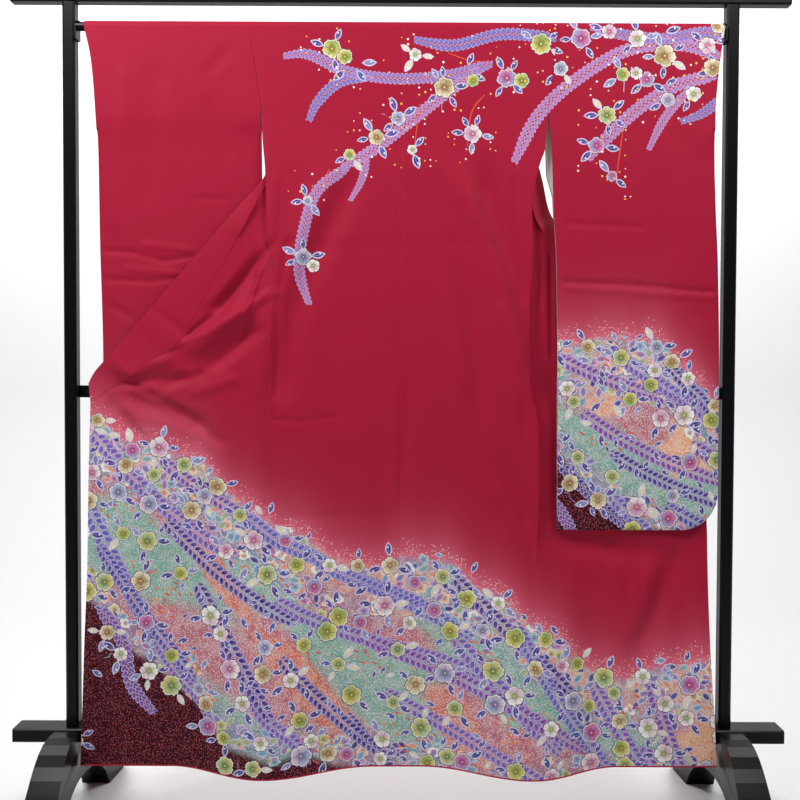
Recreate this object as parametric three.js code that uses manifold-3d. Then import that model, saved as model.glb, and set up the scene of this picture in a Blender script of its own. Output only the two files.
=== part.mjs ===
// A long-sleeved silk kimono (furisode) hung by its shoulders on the rod of a lacquered stand.
// Millimetres, +Z up. The stand's two posts stand in the plane Y = 0, the floor is Z = 0 and the
// garment's outside (its back) looks towards -Y. +X is the right-hand side seen from there.
import * as THREE from "three";
import { mergeVertices } from "three/addons/utils/BufferGeometryUtils.js";
import Module from "manifold-3d";

const wasm = await Module();
wasm.setup();

// ---- driving dimensions -------------------------------------------------------------------
const CLOTH = 2;            // wall of outer silk, wadding and lining together
const GAP = 0.3;            // clearance left between pieces at every seam
const ROD_RADIUS = 9.5;
const ROD_Y = -8;           // the rod hangs a little in front of the posts' middle
const ROD_Z = 1699.7;
const HEM_Z = 127;          // hem height above the floor where the cloth hangs flat
const HEM_DIP = 12.5;       // the hem is this much lower at the two side seams
const HEM_BULGE = 48;       // and this much nearer the viewer
const BULGE_TOP_Z = 660;    // height at which that bulge has faded out
const CUFF = 217;           // open wrist slit below the rod
const ARMHOLE_Z = 1521;     // lower end of the seam between sleeve and body
const SIDE_SEAM_Z = 1375;   // upper end of the seam between back and front panel
const CORNER = 80;          // radius of the sleeve's lower outer corner
const RIDE = ROD_RADIUS + 0.7 + CLOTH / 2;   // radius of the cloth's middle round the rod
const KENSAKI_Z = 1035;     // where collar, front panel and overlap panel meet
const COLLAR_END_Z = 905;   // where the collar ends on the free front edge

const POST = { x: 705, width: 27, depth: 30, chamfer: 4 };
const BAR = { length: 1657, depth: 59, bottom: 172, top: 201, chamfer: 2.5, y: 0 };
const TOP_RAIL = { length: 1657, depth: 30, bottom: 1751.3, top: 1781.3, chamfer: 4, y: 0 };
const MID_RAIL = { depth: 10, bottom: 912, top: 938, chamfer: 1.5, y: 9 };
const FOOT = {
  x: 711,
  reach: 272,               // half of its length
  top: 197,
  crown: 70,                // half of the flat length on top
  width: 50,
  toeWidth: 78,
  toeHeight: 34,
  archReach: 178,
  archTop: 92,
};
const HOOK = { thickness: 5, low: 1672, high: 1716, back: 17, front: 14 };

const SILK = { color: 0xa72439, roughness: 0.6, metalness: 0 };
const LACQUER = { color: 0x0b0b0d, roughness: 0.2, metalness: 0 };

// ---- tables: one row for each height (z) or station ----------------------------------------
// The side edge of each back panel, from the shoulder to the hem.
const BACK_EDGE = [
  { z: 1700, left: -324, right: 334 },
  { z: 1521, left: -298, right: 314 },
  { z: 1440, left: -291, right: 305 },
  { z: 1417, left: -288.5, right: 297 },
  { z: 1385, left: -286.5, right: 288 },
  { z: 1319, left: -284.5, right: 278 },
  { z: 1250, left: -281, right: 281 },
  { z: 1181, left: -267.5, right: 279.5 },
  { z: 1126, left: -267.5, right: 276.5 },
  { z: 953, left: -279, right: 277.5 },
  { z: 860, left: -284, right: 294 },
  { z: 762, left: -287, right: 297 },
  { z: 398, left: -287, right: 289.5 },
  { z: 100, left: -289, right: 284 },
];

// How far in front of the posts the back hangs, before folds.
const BACK_DEPTH = [
  { z: 1700, y: ROD_Y - RIDE },
  { z: 1521, y: -20 },
  { z: 1385, y: -27 },
  { z: 1181, y: -30 },
  { z: 1000, y: -31 },
  { z: 800, y: -33 },
  { z: 500, y: -35 },
  { z: 205, y: -36 },
  { z: 100, y: -36 },
];

// The spread front panels. Each row is a curve in plan from the side seam to the collar seam or
// overlap seam (edge). Its start lies `clear` outside the back panel's edge and `behind` it;
// pull1 and pull2 move the curve's inner control points off the straight line, which gives the
// slack cloth its loop behind the back panel.
const PLAN_COLUMNS = [
  "z", "clear", "behind", "edgeX", "edgeY", "pull1X", "pull1Y", "pull2X", "pull2Y",
];
const table = (names, lines) => lines.map(
  (line) => Object.fromEntries(names.map((name, i) => [name, line[i]])),
);
const FRONT = {};
FRONT.left = table(PLAN_COLUMNS, [
  [1700, -1, 22.4, -88, 3.2, 0, 0, 0, 0],
  [1600, -1, 22.5, -141, 12, 0.6, 2, -0.2, 5],
  [1521, -1.2, 22.3, -188, 26, -1.5, -4.2, 19.3, -6.1],
  [1497, -1.5, 15, -208, 28, 10.6, -13.2, 36.8, -12.6],
  [1472, -1.5, 10.5, -226, 26, 25.2, -16.7, 43.1, -15.3],
  [1448, -1, 6, -238, 22, 48.1, -14.5, 50.6, -12.7],
  [1424, 0, 3.5, -254, 9, 62.5, -10.7, 52.8, 1.2],
  [1400, 0, 2.6, -271, -9, 54, -4.2, 51.5, 15.9],
  [1375, 0, 2.6, -281, -17, 52.5, -1.5, 52.7, 21.5],
  [1357, 0, 2.6, -290, -20, 47.1, -0.3, 51.6, 22.6],
  [1300, 0, 2.5, -322, -24, 41, 1.2, 39, 14.6],
  [1240, 0, 2.5, -354, -25, 49, 1.6, 44, 5.5],
  [1181, 0.8, 2.4, -386, -26, 45, 1.1, 27, 1.5],
  [1126, 1, 0.5, -415, -27, 20, 4, 6, 0],
  [1035, 0.3, 0, -464, -28, 0, 0, 0, 0],
  [1005, 0.3, 0, -490, -28.5, 0, 0, 0, 0],
  [971, 0.3, 0, -513, -29, 0, 0, 0, 0],
  [925, 0.3, 0, -530, -29.5, 0, 0, 0, 0],
  [800, 0.3, 0, -531, -32, 0, 0, 0, 0],
  [632, 0.3, 0, -529, -34, 0, 0, 0, 0],
  [393, 0.3, 0, -526, -35.5, 0, 0, 0, 0],
  [205, 0.3, 0, -519, -36, 0, 0, 0, 0],
  [100, 0.3, 0, -514, -36, 0, 0, 0, 0],
]);
FRONT.right = table(PLAN_COLUMNS, [
  [1700, -1, 22.4, 92, 3.2, 0, 0, 0, 0],
  [1600, -1, 22, 145, 12, 3.1, 2.3, 4.1, 5.1],
  [1521, -1.2, 17, 192, 26, -7.5, -1.7, -25.3, -4.3],
  [1497, -1.5, 15, 208, 28, -15.5, -13.2, -40.7, -11.6],
  [1472, -1.5, 10.5, 226, 27, -33.3, -17, -49.6, -14],
  [1448, -1, 6, 238, 24, -52.4, -15.2, -57.7, -12.1],
  [1424, 0, 3.5, 254, 14, -65.9, -12.3, -56, 1.8],
  [1400, 0, 2.6, 263, 3, -55.1, -8.2, -52.1, 11.9],
  [1375, 0, 2.6, 269, 2, -52.7, -7.8, -52.8, 14.8],
  [1357, 0, 2.6, 274, 1, -48.5, -7.3, -53.3, 15.6],
  [1300, 0, 2.5, 291, -1, -48, 2.5, -52, 23],
  [1240, 0, 2.4, 330, -2, -50, 10, -34, 14],
  [1181, 1.3, 1.2, 380, -2, -43, 26, -38, 10],
  [1126, 1.3, 1, 415, -2, -47, 23, -47, 9],
  [1035, 1.25, 0.9, 464, -2, -57, 20, -77, 9],
  [971, 1.25, 0.8, 504, -2, -68, 19, -104, 8.5],
  [925, 1.25, 0.8, 517, -2, -72, 20, -110, 9],
  [800, 1.25, 0.8, 518, -3, -68, 22, -110, 10],
  [660, 1.25, 0.8, 518, -4, -68, 22, -108, 10],
  [560, 0.8, 0.4, 518, -10, -40, 10, -50, 5],
  [430, 0.3, 0, 518, -24, 0, 0, 0, 0],
  [300, 0.3, 0, 518, -34, 0, 0, 0, 0],
  [205, 0.3, 0, 518, -36, 0, 0, 0, 0],
  [100, 0.3, 0, 517.5, -36, 0, 0, 0, 0],
]);

// The free front edge of each overlap panel below the collar's end.
const OVERLAP_EDGE = [
  { z: 905, left: -657.5, right: 657 },
  { z: 772, left: -661, right: 661 },
  { z: 560, left: -664, right: 666 },
  { z: 390, left: -671, right: 668 },
  { z: 192, left: -678, right: 678 },
  { z: 100, left: -682, right: 682 },
];

// The collar's free edge. along is 0 at its end on the front edge, 1 at the point where the
// three seams meet, 2 at the side of the neck and 3 at the middle of the neck. The left half lies
// in front of the left sleeve, and the right half turns away and runs behind the right sleeve.
const COLLAR_EDGE = table(["along", "leftX", "rightX", "z", "leftY", "rightY"], [
  [3, 2, -2, 1610, 8, 8],
  [2.5, -10, 10, 1608, 8, 8],
  [2, -24, 24, 1603, 8, 8],
  [1.86, -62, 62, 1572, 20, 20],
  [1.73, -126, 126, 1525, 38, 38],
  [1.69, -176, 176, 1496, 46, 46],
  [1.63, -226, 226, 1466, 44, 45],
  [1.585, -258, 264, 1436, 30, 41],
  [1.549, -276, 298, 1420, 4, 36],
  [1.486, -288, 308, 1385, -18.5, 31],
  [1.4, -346, 323, 1317, -22.5, 25],
  [1.265, -416, 394, 1236, -24.5, 10],
  [1.137, -478, 474, 1164, -25.5, 0],
  [1, -533, 533, 1100, -26.5, -2],
  [0.75, -571, 571, 1057, -27, -2],
  [0.5, -610, 610, 1011, -27.5, -2],
  [0.2, -652, 652, 962, -27.8, -2],
  [0, -661.5, 661.5, 943, -27.8, -2],
]);

// Sleeves: inner edge (towards the body), outer edge, and the two layers' depth.
const SLEEVE = {};
SLEEVE.left = [
  { z: 1700, inner: -324.3, outer: -671, near: ROD_Y - RIDE, far: ROD_Y + RIDE },
  { z: 1626, inner: -313, outer: -656, near: -18.4, far: 2.5 },
  { z: 1521, inner: -298.3, outer: -648, near: -17, far: 2 },
  { z: 1440, inner: -297, outer: -645, near: -11, far: 1.3 },
  { z: 1268, inner: -295.5, outer: -643, near: -7.5, far: 1 },
  { z: 990, inner: -294.5, outer: -637, near: -7.5, far: 1 },
  { z: 600, inner: -293, outer: -639, near: -7.5, far: 1 },
];
SLEEVE.right = [
  { z: 1700, inner: 334.3, outer: 685, near: ROD_Y - RIDE, far: ROD_Y + RIDE },
  { z: 1606, inner: 324.5, outer: 673, near: -20, far: 0.5 },
  { z: 1521, inner: 314.3, outer: 667, near: -21, far: -4 },
  { z: 1440, inner: 320, outer: 667, near: -22, far: -8 },
  { z: 1325, inner: 324.5, outer: 670.5, near: -22.5, far: -9.5 },
  { z: 1196, inner: 332, outer: 677, near: -23, far: -9.5 },
  { z: 954, inner: 336, outer: 682, near: -24, far: -10 },
  { z: 600, inner: 338, outer: 682, near: -25, far: -11 },
];
const SLEEVE_BOTTOM = 632;
const SLEEVE_WIDTH = 345;

// The largest folds: soft troughs (depth above 0, away from the viewer) and ridges (below 0),
// from one end to the other, with the half width at which each has died away.
const FOLDS = [
  { fromX: -286, fromZ: 1192, toX: -420, toZ: 1078, depth: 6, width: 26 },
  { fromX: -300, fromZ: 1120, toX: -470, toZ: 1000, depth: -10, width: 30 },
  { fromX: -470, fromZ: 1000, toX: -640, toZ: 950, depth: -7, width: 22 },
  { fromX: -300, fromZ: 1075, toX: -440, toZ: 958, depth: 9, width: 34 },
  { fromX: -440, fromZ: 958, toX: -640, toZ: 938, depth: 7, width: 20 },
  { fromX: -630, fromZ: 930, toX: -395, toZ: 850, depth: 10, width: 30 },
  { fromX: -625, fromZ: 915, toX: -520, toZ: 790, depth: 7, width: 20 },
  { fromX: 30, fromZ: 1420, toX: 250, toZ: 700, depth: 5, width: 60 },
  { fromX: -190, fromZ: 1320, toX: -110, toZ: 820, depth: 3, width: 60 },
  { fromX: 400, fromZ: 600, toX: 410, toZ: 160, depth: 6, width: 60 },
  { fromX: 600, fromZ: 520, toX: 590, toZ: 160, depth: 5, width: 50 },
];

// A sleeve is a flat pouch: how its two layers close up towards the sewn edges.
const POUCH = {
  sewnWidth: 0.25,          // share of the width over which the sleeve turns into the body's plane
  sewnFade: 50,             // and the height over which it leaves that plane below the armhole
  closedFrom: 0.8,          // share of the width from which the closed outer edge flattens it
  closedFade: 60,
  hemFade: 70,
  thinnest: 0.35,           // least share of the pouch's depth that is kept
};

// ---- helpers --------------------------------------------------------------------------------
const signOf = (side) => (side === "left" ? -1 : 1);
const clamp01 = (value) => Math.min(1, Math.max(0, value));
const mix = (from, to, share) => from + (to - from) * share;
const ease = (share) => {
  const s = clamp01(share);
  return s * s * (3 - 2 * s);
};

// One column of a table at height z, on a smooth curve that never overshoots its rows. The rows
// are sorted by their key, largest first.
function column(rows, name, z, key = "z") {
  const top = rows[0];
  const bottom = rows[rows.length - 1];
  if (z >= top[key]) return top[name];
  if (z <= bottom[key]) return bottom[name];
  const i = rows.findIndex((row, index) => index > 0 && z >= row[key]);
  const slope = (a, b) => (rows[b][name] - rows[a][name]) / (rows[b][key] - rows[a][key]);
  const tangent = (k) => {
    if (k === 0) return slope(0, 1);
    if (k === rows.length - 1) return slope(k - 1, k);
    const before = slope(k - 1, k);
    const after = slope(k, k + 1);
    return before * after <= 0 ? 0 : (2 * before * after) / (before + after);
  };
  const length = rows[i][key] - rows[i - 1][key];
  const t = (z - rows[i - 1][key]) / length;
  const h = t * t * (3 - 2 * t);
  return mix(rows[i - 1][name], rows[i][name], h)
    + length * t * (1 - t) * ((1 - t) * tangent(i - 1) - t * tangent(i));
}

// 1 at a side seam's place along the hem, falling to 0 on both sides.
function seamBump(x) {
  const bumps = [{ at: -289, outer: 200, inner: 235 }, { at: 284, outer: 185, inner: 235 }];
  return bumps.reduce((sum, bump) => {
    const towardsMiddle = Math.abs(x) < Math.abs(bump.at) || x * bump.at < 0;
    const reach = towardsMiddle ? bump.inner : bump.outer;
    const distance = Math.min(1, Math.abs(x - bump.at) / reach);
    return sum + 0.5 + 0.5 * Math.cos(Math.PI * distance);
  }, 0);
}

// Extra depth from the large folds at a place on the hanging cloth.
function foldDepth(x, z) {
  return FOLDS.reduce((sum, fold) => {
    const alongX = fold.toX - fold.fromX;
    const alongZ = fold.toZ - fold.fromZ;
    const length = Math.hypot(alongX, alongZ);
    const along = ((x - fold.fromX) * alongX + (z - fold.fromZ) * alongZ) / length;
    const across = ((x - fold.fromX) * alongZ - (z - fold.fromZ) * alongX) / length;
    const side = 1 - Math.abs(across) / fold.width;
    if (side <= 0) return sum;
    const end = Math.min(fold.width * 1.5, length / 2);
    return sum + fold.depth * ease(side) * ease(along / end) * ease((length - along) / end);
  }, 0);
}

// Turns a nominal point of the hanging cloth into its real place: hem bulge, hem dip and folds.
function hang(x, y, z) {
  const lowness = ease((BULGE_TOP_Z - z) / (BULGE_TOP_Z - HEM_Z));
  const bump = seamBump(x);
  const dip = HEM_DIP * bump * lowness ** 3;
  return new THREE.Vector3(x, y - HEM_BULGE * bump * lowness + foldDepth(x, z), z - dip);
}

// A closed wall of the given thickness on a grid of points, grid[row][column]. At a seam the
// wall is cut square to the hanging plane, so that two pieces stay evenly apart.
function clothWall(grid) {
  const rows = grid.length;
  const columns = grid[0].length;
  const positions = [];
  for (const side of [0.5, -0.5]) {
    for (let r = 0; r < rows; r += 1) {
      for (let c = 0; c < columns; c += 1) {
        const along = grid[Math.min(r + 1, rows - 1)][c].clone().sub(grid[Math.max(r - 1, 0)][c]);
        const across = grid[r][Math.min(c + 1, columns - 1)].clone().sub(grid[r][Math.max(c - 1, 0)]);
        const normal = along.cross(across).normalize();
        const seam = c === 0 || c === columns - 1 || r === 0;
        if (seam && Math.abs(normal.y) > 0.5) normal.set(0, Math.sign(normal.y), 0);
        const point = grid[r][c].clone().addScaledVector(normal, side * CLOTH);
        positions.push(point.x, point.y, point.z);
      }
    }
  }
  const front = (r, c) => r * columns + c;
  const back = (r, c) => rows * columns + r * columns + c;
  const faces = [];
  const quad = (a, b, c, d) => faces.push(a, b, c, a, c, d);
  for (let r = 0; r < rows - 1; r += 1) {
    for (let c = 0; c < columns - 1; c += 1) {
      quad(front(r, c), front(r + 1, c), front(r + 1, c + 1), front(r, c + 1));
      quad(back(r, c), back(r, c + 1), back(r + 1, c + 1), back(r + 1, c));
    }
  }
  for (let r = 0; r < rows - 1; r += 1) {
    quad(front(r, 0), back(r, 0), back(r + 1, 0), front(r + 1, 0));
    quad(front(r + 1, columns - 1), back(r + 1, columns - 1), back(r, columns - 1), front(r, columns - 1));
  }
  for (let c = 0; c < columns - 1; c += 1) {
    quad(front(0, c + 1), back(0, c + 1), back(0, c), front(0, c));
    quad(front(rows - 1, c), back(rows - 1, c), back(rows - 1, c + 1), front(rows - 1, c + 1));
  }
  return closedGeometry(positions, faces);
}

// An indexed geometry whose faces point out, whichever way round they were listed.
function closedGeometry(positions, faces) {
  let volume = 0;
  const corner = (index) => new THREE.Vector3().fromArray(positions, index * 3);
  for (let i = 0; i < faces.length; i += 3) {
    volume += corner(faces[i]).dot(corner(faces[i + 1]).cross(corner(faces[i + 2])));
  }
  if (volume < 0) {
    for (let i = 0; i < faces.length; i += 3) [faces[i + 1], faces[i + 2]] = [faces[i + 2], faces[i + 1]];
  }
  const geometry = new THREE.BufferGeometry();
  geometry.setAttribute("position", new THREE.Float32BufferAttribute(positions, 3));
  geometry.setIndex(faces);
  return geometry;
}

function toSolid(geometry) {
  const bare = geometry.clone();
  bare.deleteAttribute("normal");
  bare.deleteAttribute("uv");
  const merged = mergeVertices(bare, 1e-4);
  return new wasm.Manifold(new wasm.Mesh({
    numProp: 3,
    vertProperties: new Float32Array(merged.attributes.position.array),
    triVerts: new Uint32Array(merged.index.array),
  }));
}

function fromSolid(solid) {
  const mesh = solid.getMesh();
  const geometry = new THREE.BufferGeometry();
  geometry.setAttribute("position", new THREE.BufferAttribute(new Float32Array(mesh.vertProperties), 3));
  geometry.setIndex(new THREE.BufferAttribute(new Uint32Array(mesh.triVerts), 1));
  return geometry;
}

const group = new THREE.Group();

function addPiece(name, geometry, look) {
  const mesh = new THREE.Mesh(geometry, new THREE.MeshStandardMaterial({ ...look, flatShading: true }));
  mesh.name = name;
  group.add(mesh);
  return mesh;
}

// Evenly spaced values from top to bottom.
function heights(top, bottom, count) {
  return Array.from({ length: count }, (_, i) => mix(top, bottom, i / (count - 1)));
}

// ---- the body -------------------------------------------------------------------------------
const COLUMNS = 10;
const OVERLAP_COLUMNS = 6;
const SHOULDER_ROWS = heights(ROD_Z, ARMHOLE_Z, 5);
const ARMPIT_ROWS = heights(ARMHOLE_Z, SIDE_SEAM_Z, 7).slice(1);
const UPPER_ROWS = [...SHOULDER_ROWS, ...ARMPIT_ROWS, ...heights(SIDE_SEAM_Z, KENSAKI_Z, 8).slice(1)];
const LOWER_ROWS = heights(KENSAKI_Z, HEM_Z, 15);
const ALL_ROWS = [...UPPER_ROWS, ...LOWER_ROWS.slice(1)];

// A back panel hangs from the far side of the rod, over it, and down to the hem.
function backPanel(side) {
  const sign = signOf(side);
  const middle = (z) => mix(-2, 3.5, clamp01((z - HEM_Z) / (ROD_Z - HEM_Z))) + sign * GAP / 2;
  const acrossAt = (z, c) => mix(middle(z), column(BACK_EDGE, side, z), c / COLUMNS);
  const rowOf = (place) => Array.from({ length: COLUMNS + 1 }, (_, c) => place(c));
  const overRod = 8;
  const grid = heights(Math.PI, Math.PI / overRod, overRod).map((angle) => rowOf((c) => new THREE.Vector3(
    acrossAt(ROD_Z, c),
    ROD_Y - RIDE * Math.cos(angle),
    ROD_Z + RIDE * Math.sin(angle),
  )));
  for (const z of ALL_ROWS) {
    grid.push(rowOf((c) => hang(acrossAt(z, c), column(BACK_DEPTH, "y", z), z)));
  }
  return clothWall(grid);
}

// One row of a spread front panel: a cubic curve in plan from side seam to collar seam.
function frontRow(side, z) {
  const sign = signOf(side);
  const at = (name) => column(FRONT[side], name, z);
  const seam = new THREE.Vector2(
    column(BACK_EDGE, side, z) + sign * at("clear"),
    column(BACK_DEPTH, "y", z) + at("behind"),
  );
  const edge = new THREE.Vector2(at("edgeX"), at("edgeY"));
  const first = seam.clone().lerp(edge, 1 / 3).add(new THREE.Vector2(at("pull1X"), at("pull1Y")));
  const second = seam.clone().lerp(edge, 2 / 3).add(new THREE.Vector2(at("pull2X"), at("pull2Y")));
  const curve = new THREE.CubicBezierCurve(seam, first, second, edge);
  return Array.from({ length: COLUMNS + 1 }, (_, c) => {
    const point = curve.getPoint(c / COLUMNS);
    return hang(point.x, point.y, z);
  });
}

function frontPanel(side) {
  const rows = ALL_ROWS.map((z) => frontRow(side, z));
  for (const point of rows[0]) point.z -= GAP;
  return clothWall(rows);
}

// The overlap panel goes on from the front panel's lower edge to the free front edge. A row runs
// across it from height z on the front panel; the top row slants and is the collar's seam.
function overlapRow(side, z) {
  const lower = (KENSAKI_Z - z) / (KENSAKI_Z - HEM_Z);
  const outerZ = mix(COLLAR_END_Z, HEM_Z, lower);
  const innerX = column(FRONT[side], "edgeX", z) + signOf(side) * 3 * GAP;
  const outerX = column(OVERLAP_EDGE, side, outerZ);
  const depth = column(FRONT[side], "edgeY", z);
  return Array.from({ length: OVERLAP_COLUMNS + 1 }, (_, c) => {
    const across = c / OVERLAP_COLUMNS;
    return hang(mix(innerX, outerX, across), depth, mix(z, outerZ, across));
  });
}

function overlapPanel(side) {
  return clothWall(LOWER_ROWS.map((z) => overlapRow(side, z)));
}

// Half of the collar band, from its end on the front edge to the middle of the neck. Its inner
// edge follows the slanting top of the overlap panel, then the front panel's edge.
function collarHalf(side) {
  const slant = overlapRow(side, KENSAKI_Z).reverse();
  const seam = slant.map((point, i) => ({ along: i / OVERLAP_COLUMNS, point }));
  for (const z of UPPER_ROWS.slice(0, -1).reverse()) {
    const point = frontRow(side, z)[COLUMNS];
    seam.push({ along: 1 + (z - KENSAKI_Z) / (ROD_Z - KENSAKI_Z), point });
  }
  const neckSide = seam[seam.length - 1].point;
  for (const share of [0.35, 0.7]) {
    const point = new THREE.Vector3(mix(neckSide.x, 0, share), neckSide.y, neckSide.z);
    seam.push({ along: 2 + share, point });
  }
  return seam.map(({ along, point }) => {
    const edge = (name) => column(COLLAR_EDGE, name, along, "along");
    const free = hang(edge(`${side}X`), edge(`${side}Y`), edge("z"));
    const direction = free.clone().sub(point).normalize();
    const turned = ease((along - 1.4) / 0.1) * ease((1.8 - along) / 0.1);
    const start = point.clone().addScaledVector(direction, 2.5 * GAP + turned * CLOTH);
    start.z -= along >= 2 ? 3 * GAP : 0;
    return [0, 1 / 3, 2 / 3, 1].map((share) => start.clone().lerp(free, share));
  });
}

function collarBand() {
  return clothWall([...collarHalf("left"), ...collarHalf("right").reverse()]);
}

// ---- sleeves --------------------------------------------------------------------------------
// A hollow form between a near and a far surface, both grown by `grow` (negative for a cavity).
// from and to are shares of the sleeve's width; base is the lowest height it reaches.
function sleeveForm(side, grow, from, to, stations, base) {
  const rows = SLEEVE[side];
  const sign = signOf(side);
  const arc = 8;
  const outerAt = (z) => column(rows, "outer", z);
  const sewnEdge = (z) => column(BACK_EDGE, side, z) + sign * GAP;
  const innerAt = (z) => (z >= ARMHOLE_Z ? sewnEdge(z) : column(rows, "inner", z));
  const bottomAt = (share) => {
    const width = Math.abs(outerAt(SLEEVE_BOTTOM) - column(rows, "inner", SLEEVE_BOTTOM));
    const fromCorner = Math.max(0, CORNER - (1 - Math.min(1, share)) * width);
    return SLEEVE_BOTTOM + CORNER - Math.sqrt(CORNER ** 2 - Math.min(CORNER * 0.995, fromCorner) ** 2);
  };
  const loops = [];
  for (let i = 0; i <= stations; i += 1) {
    const share = mix(from, to, i / stations);
    const low = Math.max(bottomAt(share), base) - grow;
    const near = [];
    const far = [];
    for (const z of [...heights(low, ARMHOLE_Z, 11), ...SHOULDER_ROWS.slice(0, -1).reverse()]) {
      const x = mix(innerAt(z), outerAt(z), share);
      const sewn = ease((z - ARMHOLE_Z) / POUCH.sewnFade + 1) * ease(1 - share / POUCH.sewnWidth);
      const nearY = mix(column(rows, "near", z), column(BACK_DEPTH, "y", z), sewn);
      const farY = column(rows, "far", z);
      const closed = ease((ROD_Z - CUFF - z) / POUCH.closedFade)
        * ease((share - POUCH.closedFrom) / (1 - POUCH.closedFrom));
      const towardsHem = ease((low - z) / POUCH.hemFade + 1);
      const keep = 1 - 0.5 * closed - 0.35 * towardsHem;
      const middle = (nearY + farY) / 2;
      const half = (farY - nearY) / 2 * Math.max(POUCH.thinnest, keep);
      near.push(new THREE.Vector3(x, middle - half - grow, z));
      far.push(new THREE.Vector3(x, middle + half + grow, z));
    }
    const over = [];
    const topX = mix(innerAt(ROD_Z), outerAt(ROD_Z), share);
    for (let a = 1; a < arc; a += 1) {
      const angle = Math.PI * a / arc;
      const radius = RIDE + grow;
      over.push(new THREE.Vector3(topX, ROD_Y - radius * Math.cos(angle), ROD_Z + radius * Math.sin(angle)));
    }
    loops.push([...near, ...over, ...far.reverse()]);
  }
  return loft(loops);
}

// Joins loops of equal length into a closed solid. Each loop is closed across like a ladder.
function loft(loops) {
  const size = loops[0].length;
  const positions = loops.flat().flatMap((point) => [point.x, point.y, point.z]);
  const faces = [];
  for (let i = 0; i < loops.length - 1; i += 1) {
    for (let k = 0; k < size; k += 1) {
      const next = (k + 1) % size;
      const a = i * size + k;
      const b = i * size + next;
      const c = (i + 1) * size + next;
      const d = (i + 1) * size + k;
      faces.push(a, b, c, a, c, d);
    }
  }
  const cap = (start, flip) => {
    for (let k = 0; k < Math.floor(size / 2) - 1; k += 1) {
      const a = start + k;
      const b = start + k + 1;
      const c = start + size - 2 - k;
      const d = start + size - 1 - k;
      const triangles = b === c - 1 && size % 2 === 1 ? [[a, b, d], [b, c, d]] : [[a, b, c], [a, c, d]];
      for (const [p, q, r] of triangles) faces.push(...(flip ? [p, q, r] : [p, r, q]));
    }
    if (size % 2 === 1) {
      const middle = start + Math.floor(size / 2);
      const tip = [middle - 1, middle, middle + 1];
      faces.push(...(flip ? tip : [tip[0], tip[2], tip[1]]));
    }
  };
  cap(0, false);
  cap((loops.length - 1) * size, true);
  return toSolid(closedGeometry(positions, faces));
}

function sleeve(side) {
  const wall = CLOTH / SLEEVE_WIDTH;
  const past = 12 / SLEEVE_WIDTH;
  const outside = sleeveForm(side, CLOTH / 2, 0, 1, 9, 0);
  const hollow = sleeveForm(side, -CLOTH / 2, -past, 1 - wall, 9, 0);
  const cuff = sleeveForm(side, -CLOTH / 2, 0.9, 1 + past, 2, ROD_Z - CUFF);
  return fromSolid(outside.subtract(hollow).subtract(cuff));
}

// ---- the stand ------------------------------------------------------------------------------
// A bar of rectangular section with chamfered long edges, running along X or Z.
function chamferedBar(length, width, depth, chamfer) {
  const w = width / 2;
  const d = depth / 2;
  const shape = new THREE.Shape([
    [-w + chamfer, -d], [w - chamfer, -d], [w, -d + chamfer], [w, d - chamfer],
    [w - chamfer, d], [-w + chamfer, d], [-w, d - chamfer], [-w, -d + chamfer],
  ].map(([x, y]) => new THREE.Vector2(x, y)));
  return new THREE.ExtrudeGeometry(shape, { depth: length, bevelEnabled: false });
}

function addBarAlongX(name, { length, bottom, top, depth, chamfer, y }) {
  const bar = addPiece(name, chamferedBar(length, top - bottom, depth, chamfer), LACQUER);
  bar.rotation.set(0, Math.PI / 2, 0);
  bar.position.set(-length / 2, y, (top + bottom) / 2);
}

// An arched foot in side view, wider at its toes than at its crown, notched for the base bar.
function foot() {
  const { reach, top, crown, archReach, archTop, toeHeight } = FOOT;
  const notch = BAR.depth / 2 + GAP;
  const shape = new THREE.Shape();
  shape.moveTo(-reach, 0);
  shape.lineTo(-reach, toeHeight * 0.4);
  shape.quadraticCurveTo(-reach + 4, toeHeight, -reach + 30, toeHeight + 22);
  shape.bezierCurveTo(-reach + 90, toeHeight + 70, -crown - 80, top - 4, -crown, top);
  shape.lineTo(-notch, top);
  shape.lineTo(-notch, BAR.bottom - GAP);
  shape.lineTo(notch, BAR.bottom - GAP);
  shape.lineTo(notch, top);
  shape.lineTo(crown, top);
  shape.bezierCurveTo(crown + 80, top - 4, reach - 90, toeHeight + 70, reach - 30, toeHeight + 22);
  shape.quadraticCurveTo(reach - 4, toeHeight, reach, toeHeight * 0.4);
  shape.lineTo(reach, 0);
  shape.lineTo(archReach, 0);
  shape.bezierCurveTo(archReach - 30, archTop * 0.7, archReach * 0.45, archTop, 0, archTop);
  shape.bezierCurveTo(-archReach * 0.45, archTop, -archReach + 30, archTop * 0.7, -archReach, 0);
  shape.closePath();
  const geometry = new THREE.ExtrudeGeometry(shape, {
    depth: FOOT.width, bevelEnabled: false, curveSegments: 8, steps: 1,
  });
  geometry.rotateX(Math.PI / 2);
  geometry.rotateZ(Math.PI / 2);
  geometry.translate(-FOOT.width / 2, 0, 0);
  const position = geometry.attributes.position;
  for (let i = 0; i < position.count; i += 1) {
    const share = Math.abs(position.getY(i)) / reach;
    position.setX(i, position.getX(i) * mix(1, FOOT.toeWidth / FOOT.width, share ** 1.5));
  }
  return geometry;
}

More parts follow.
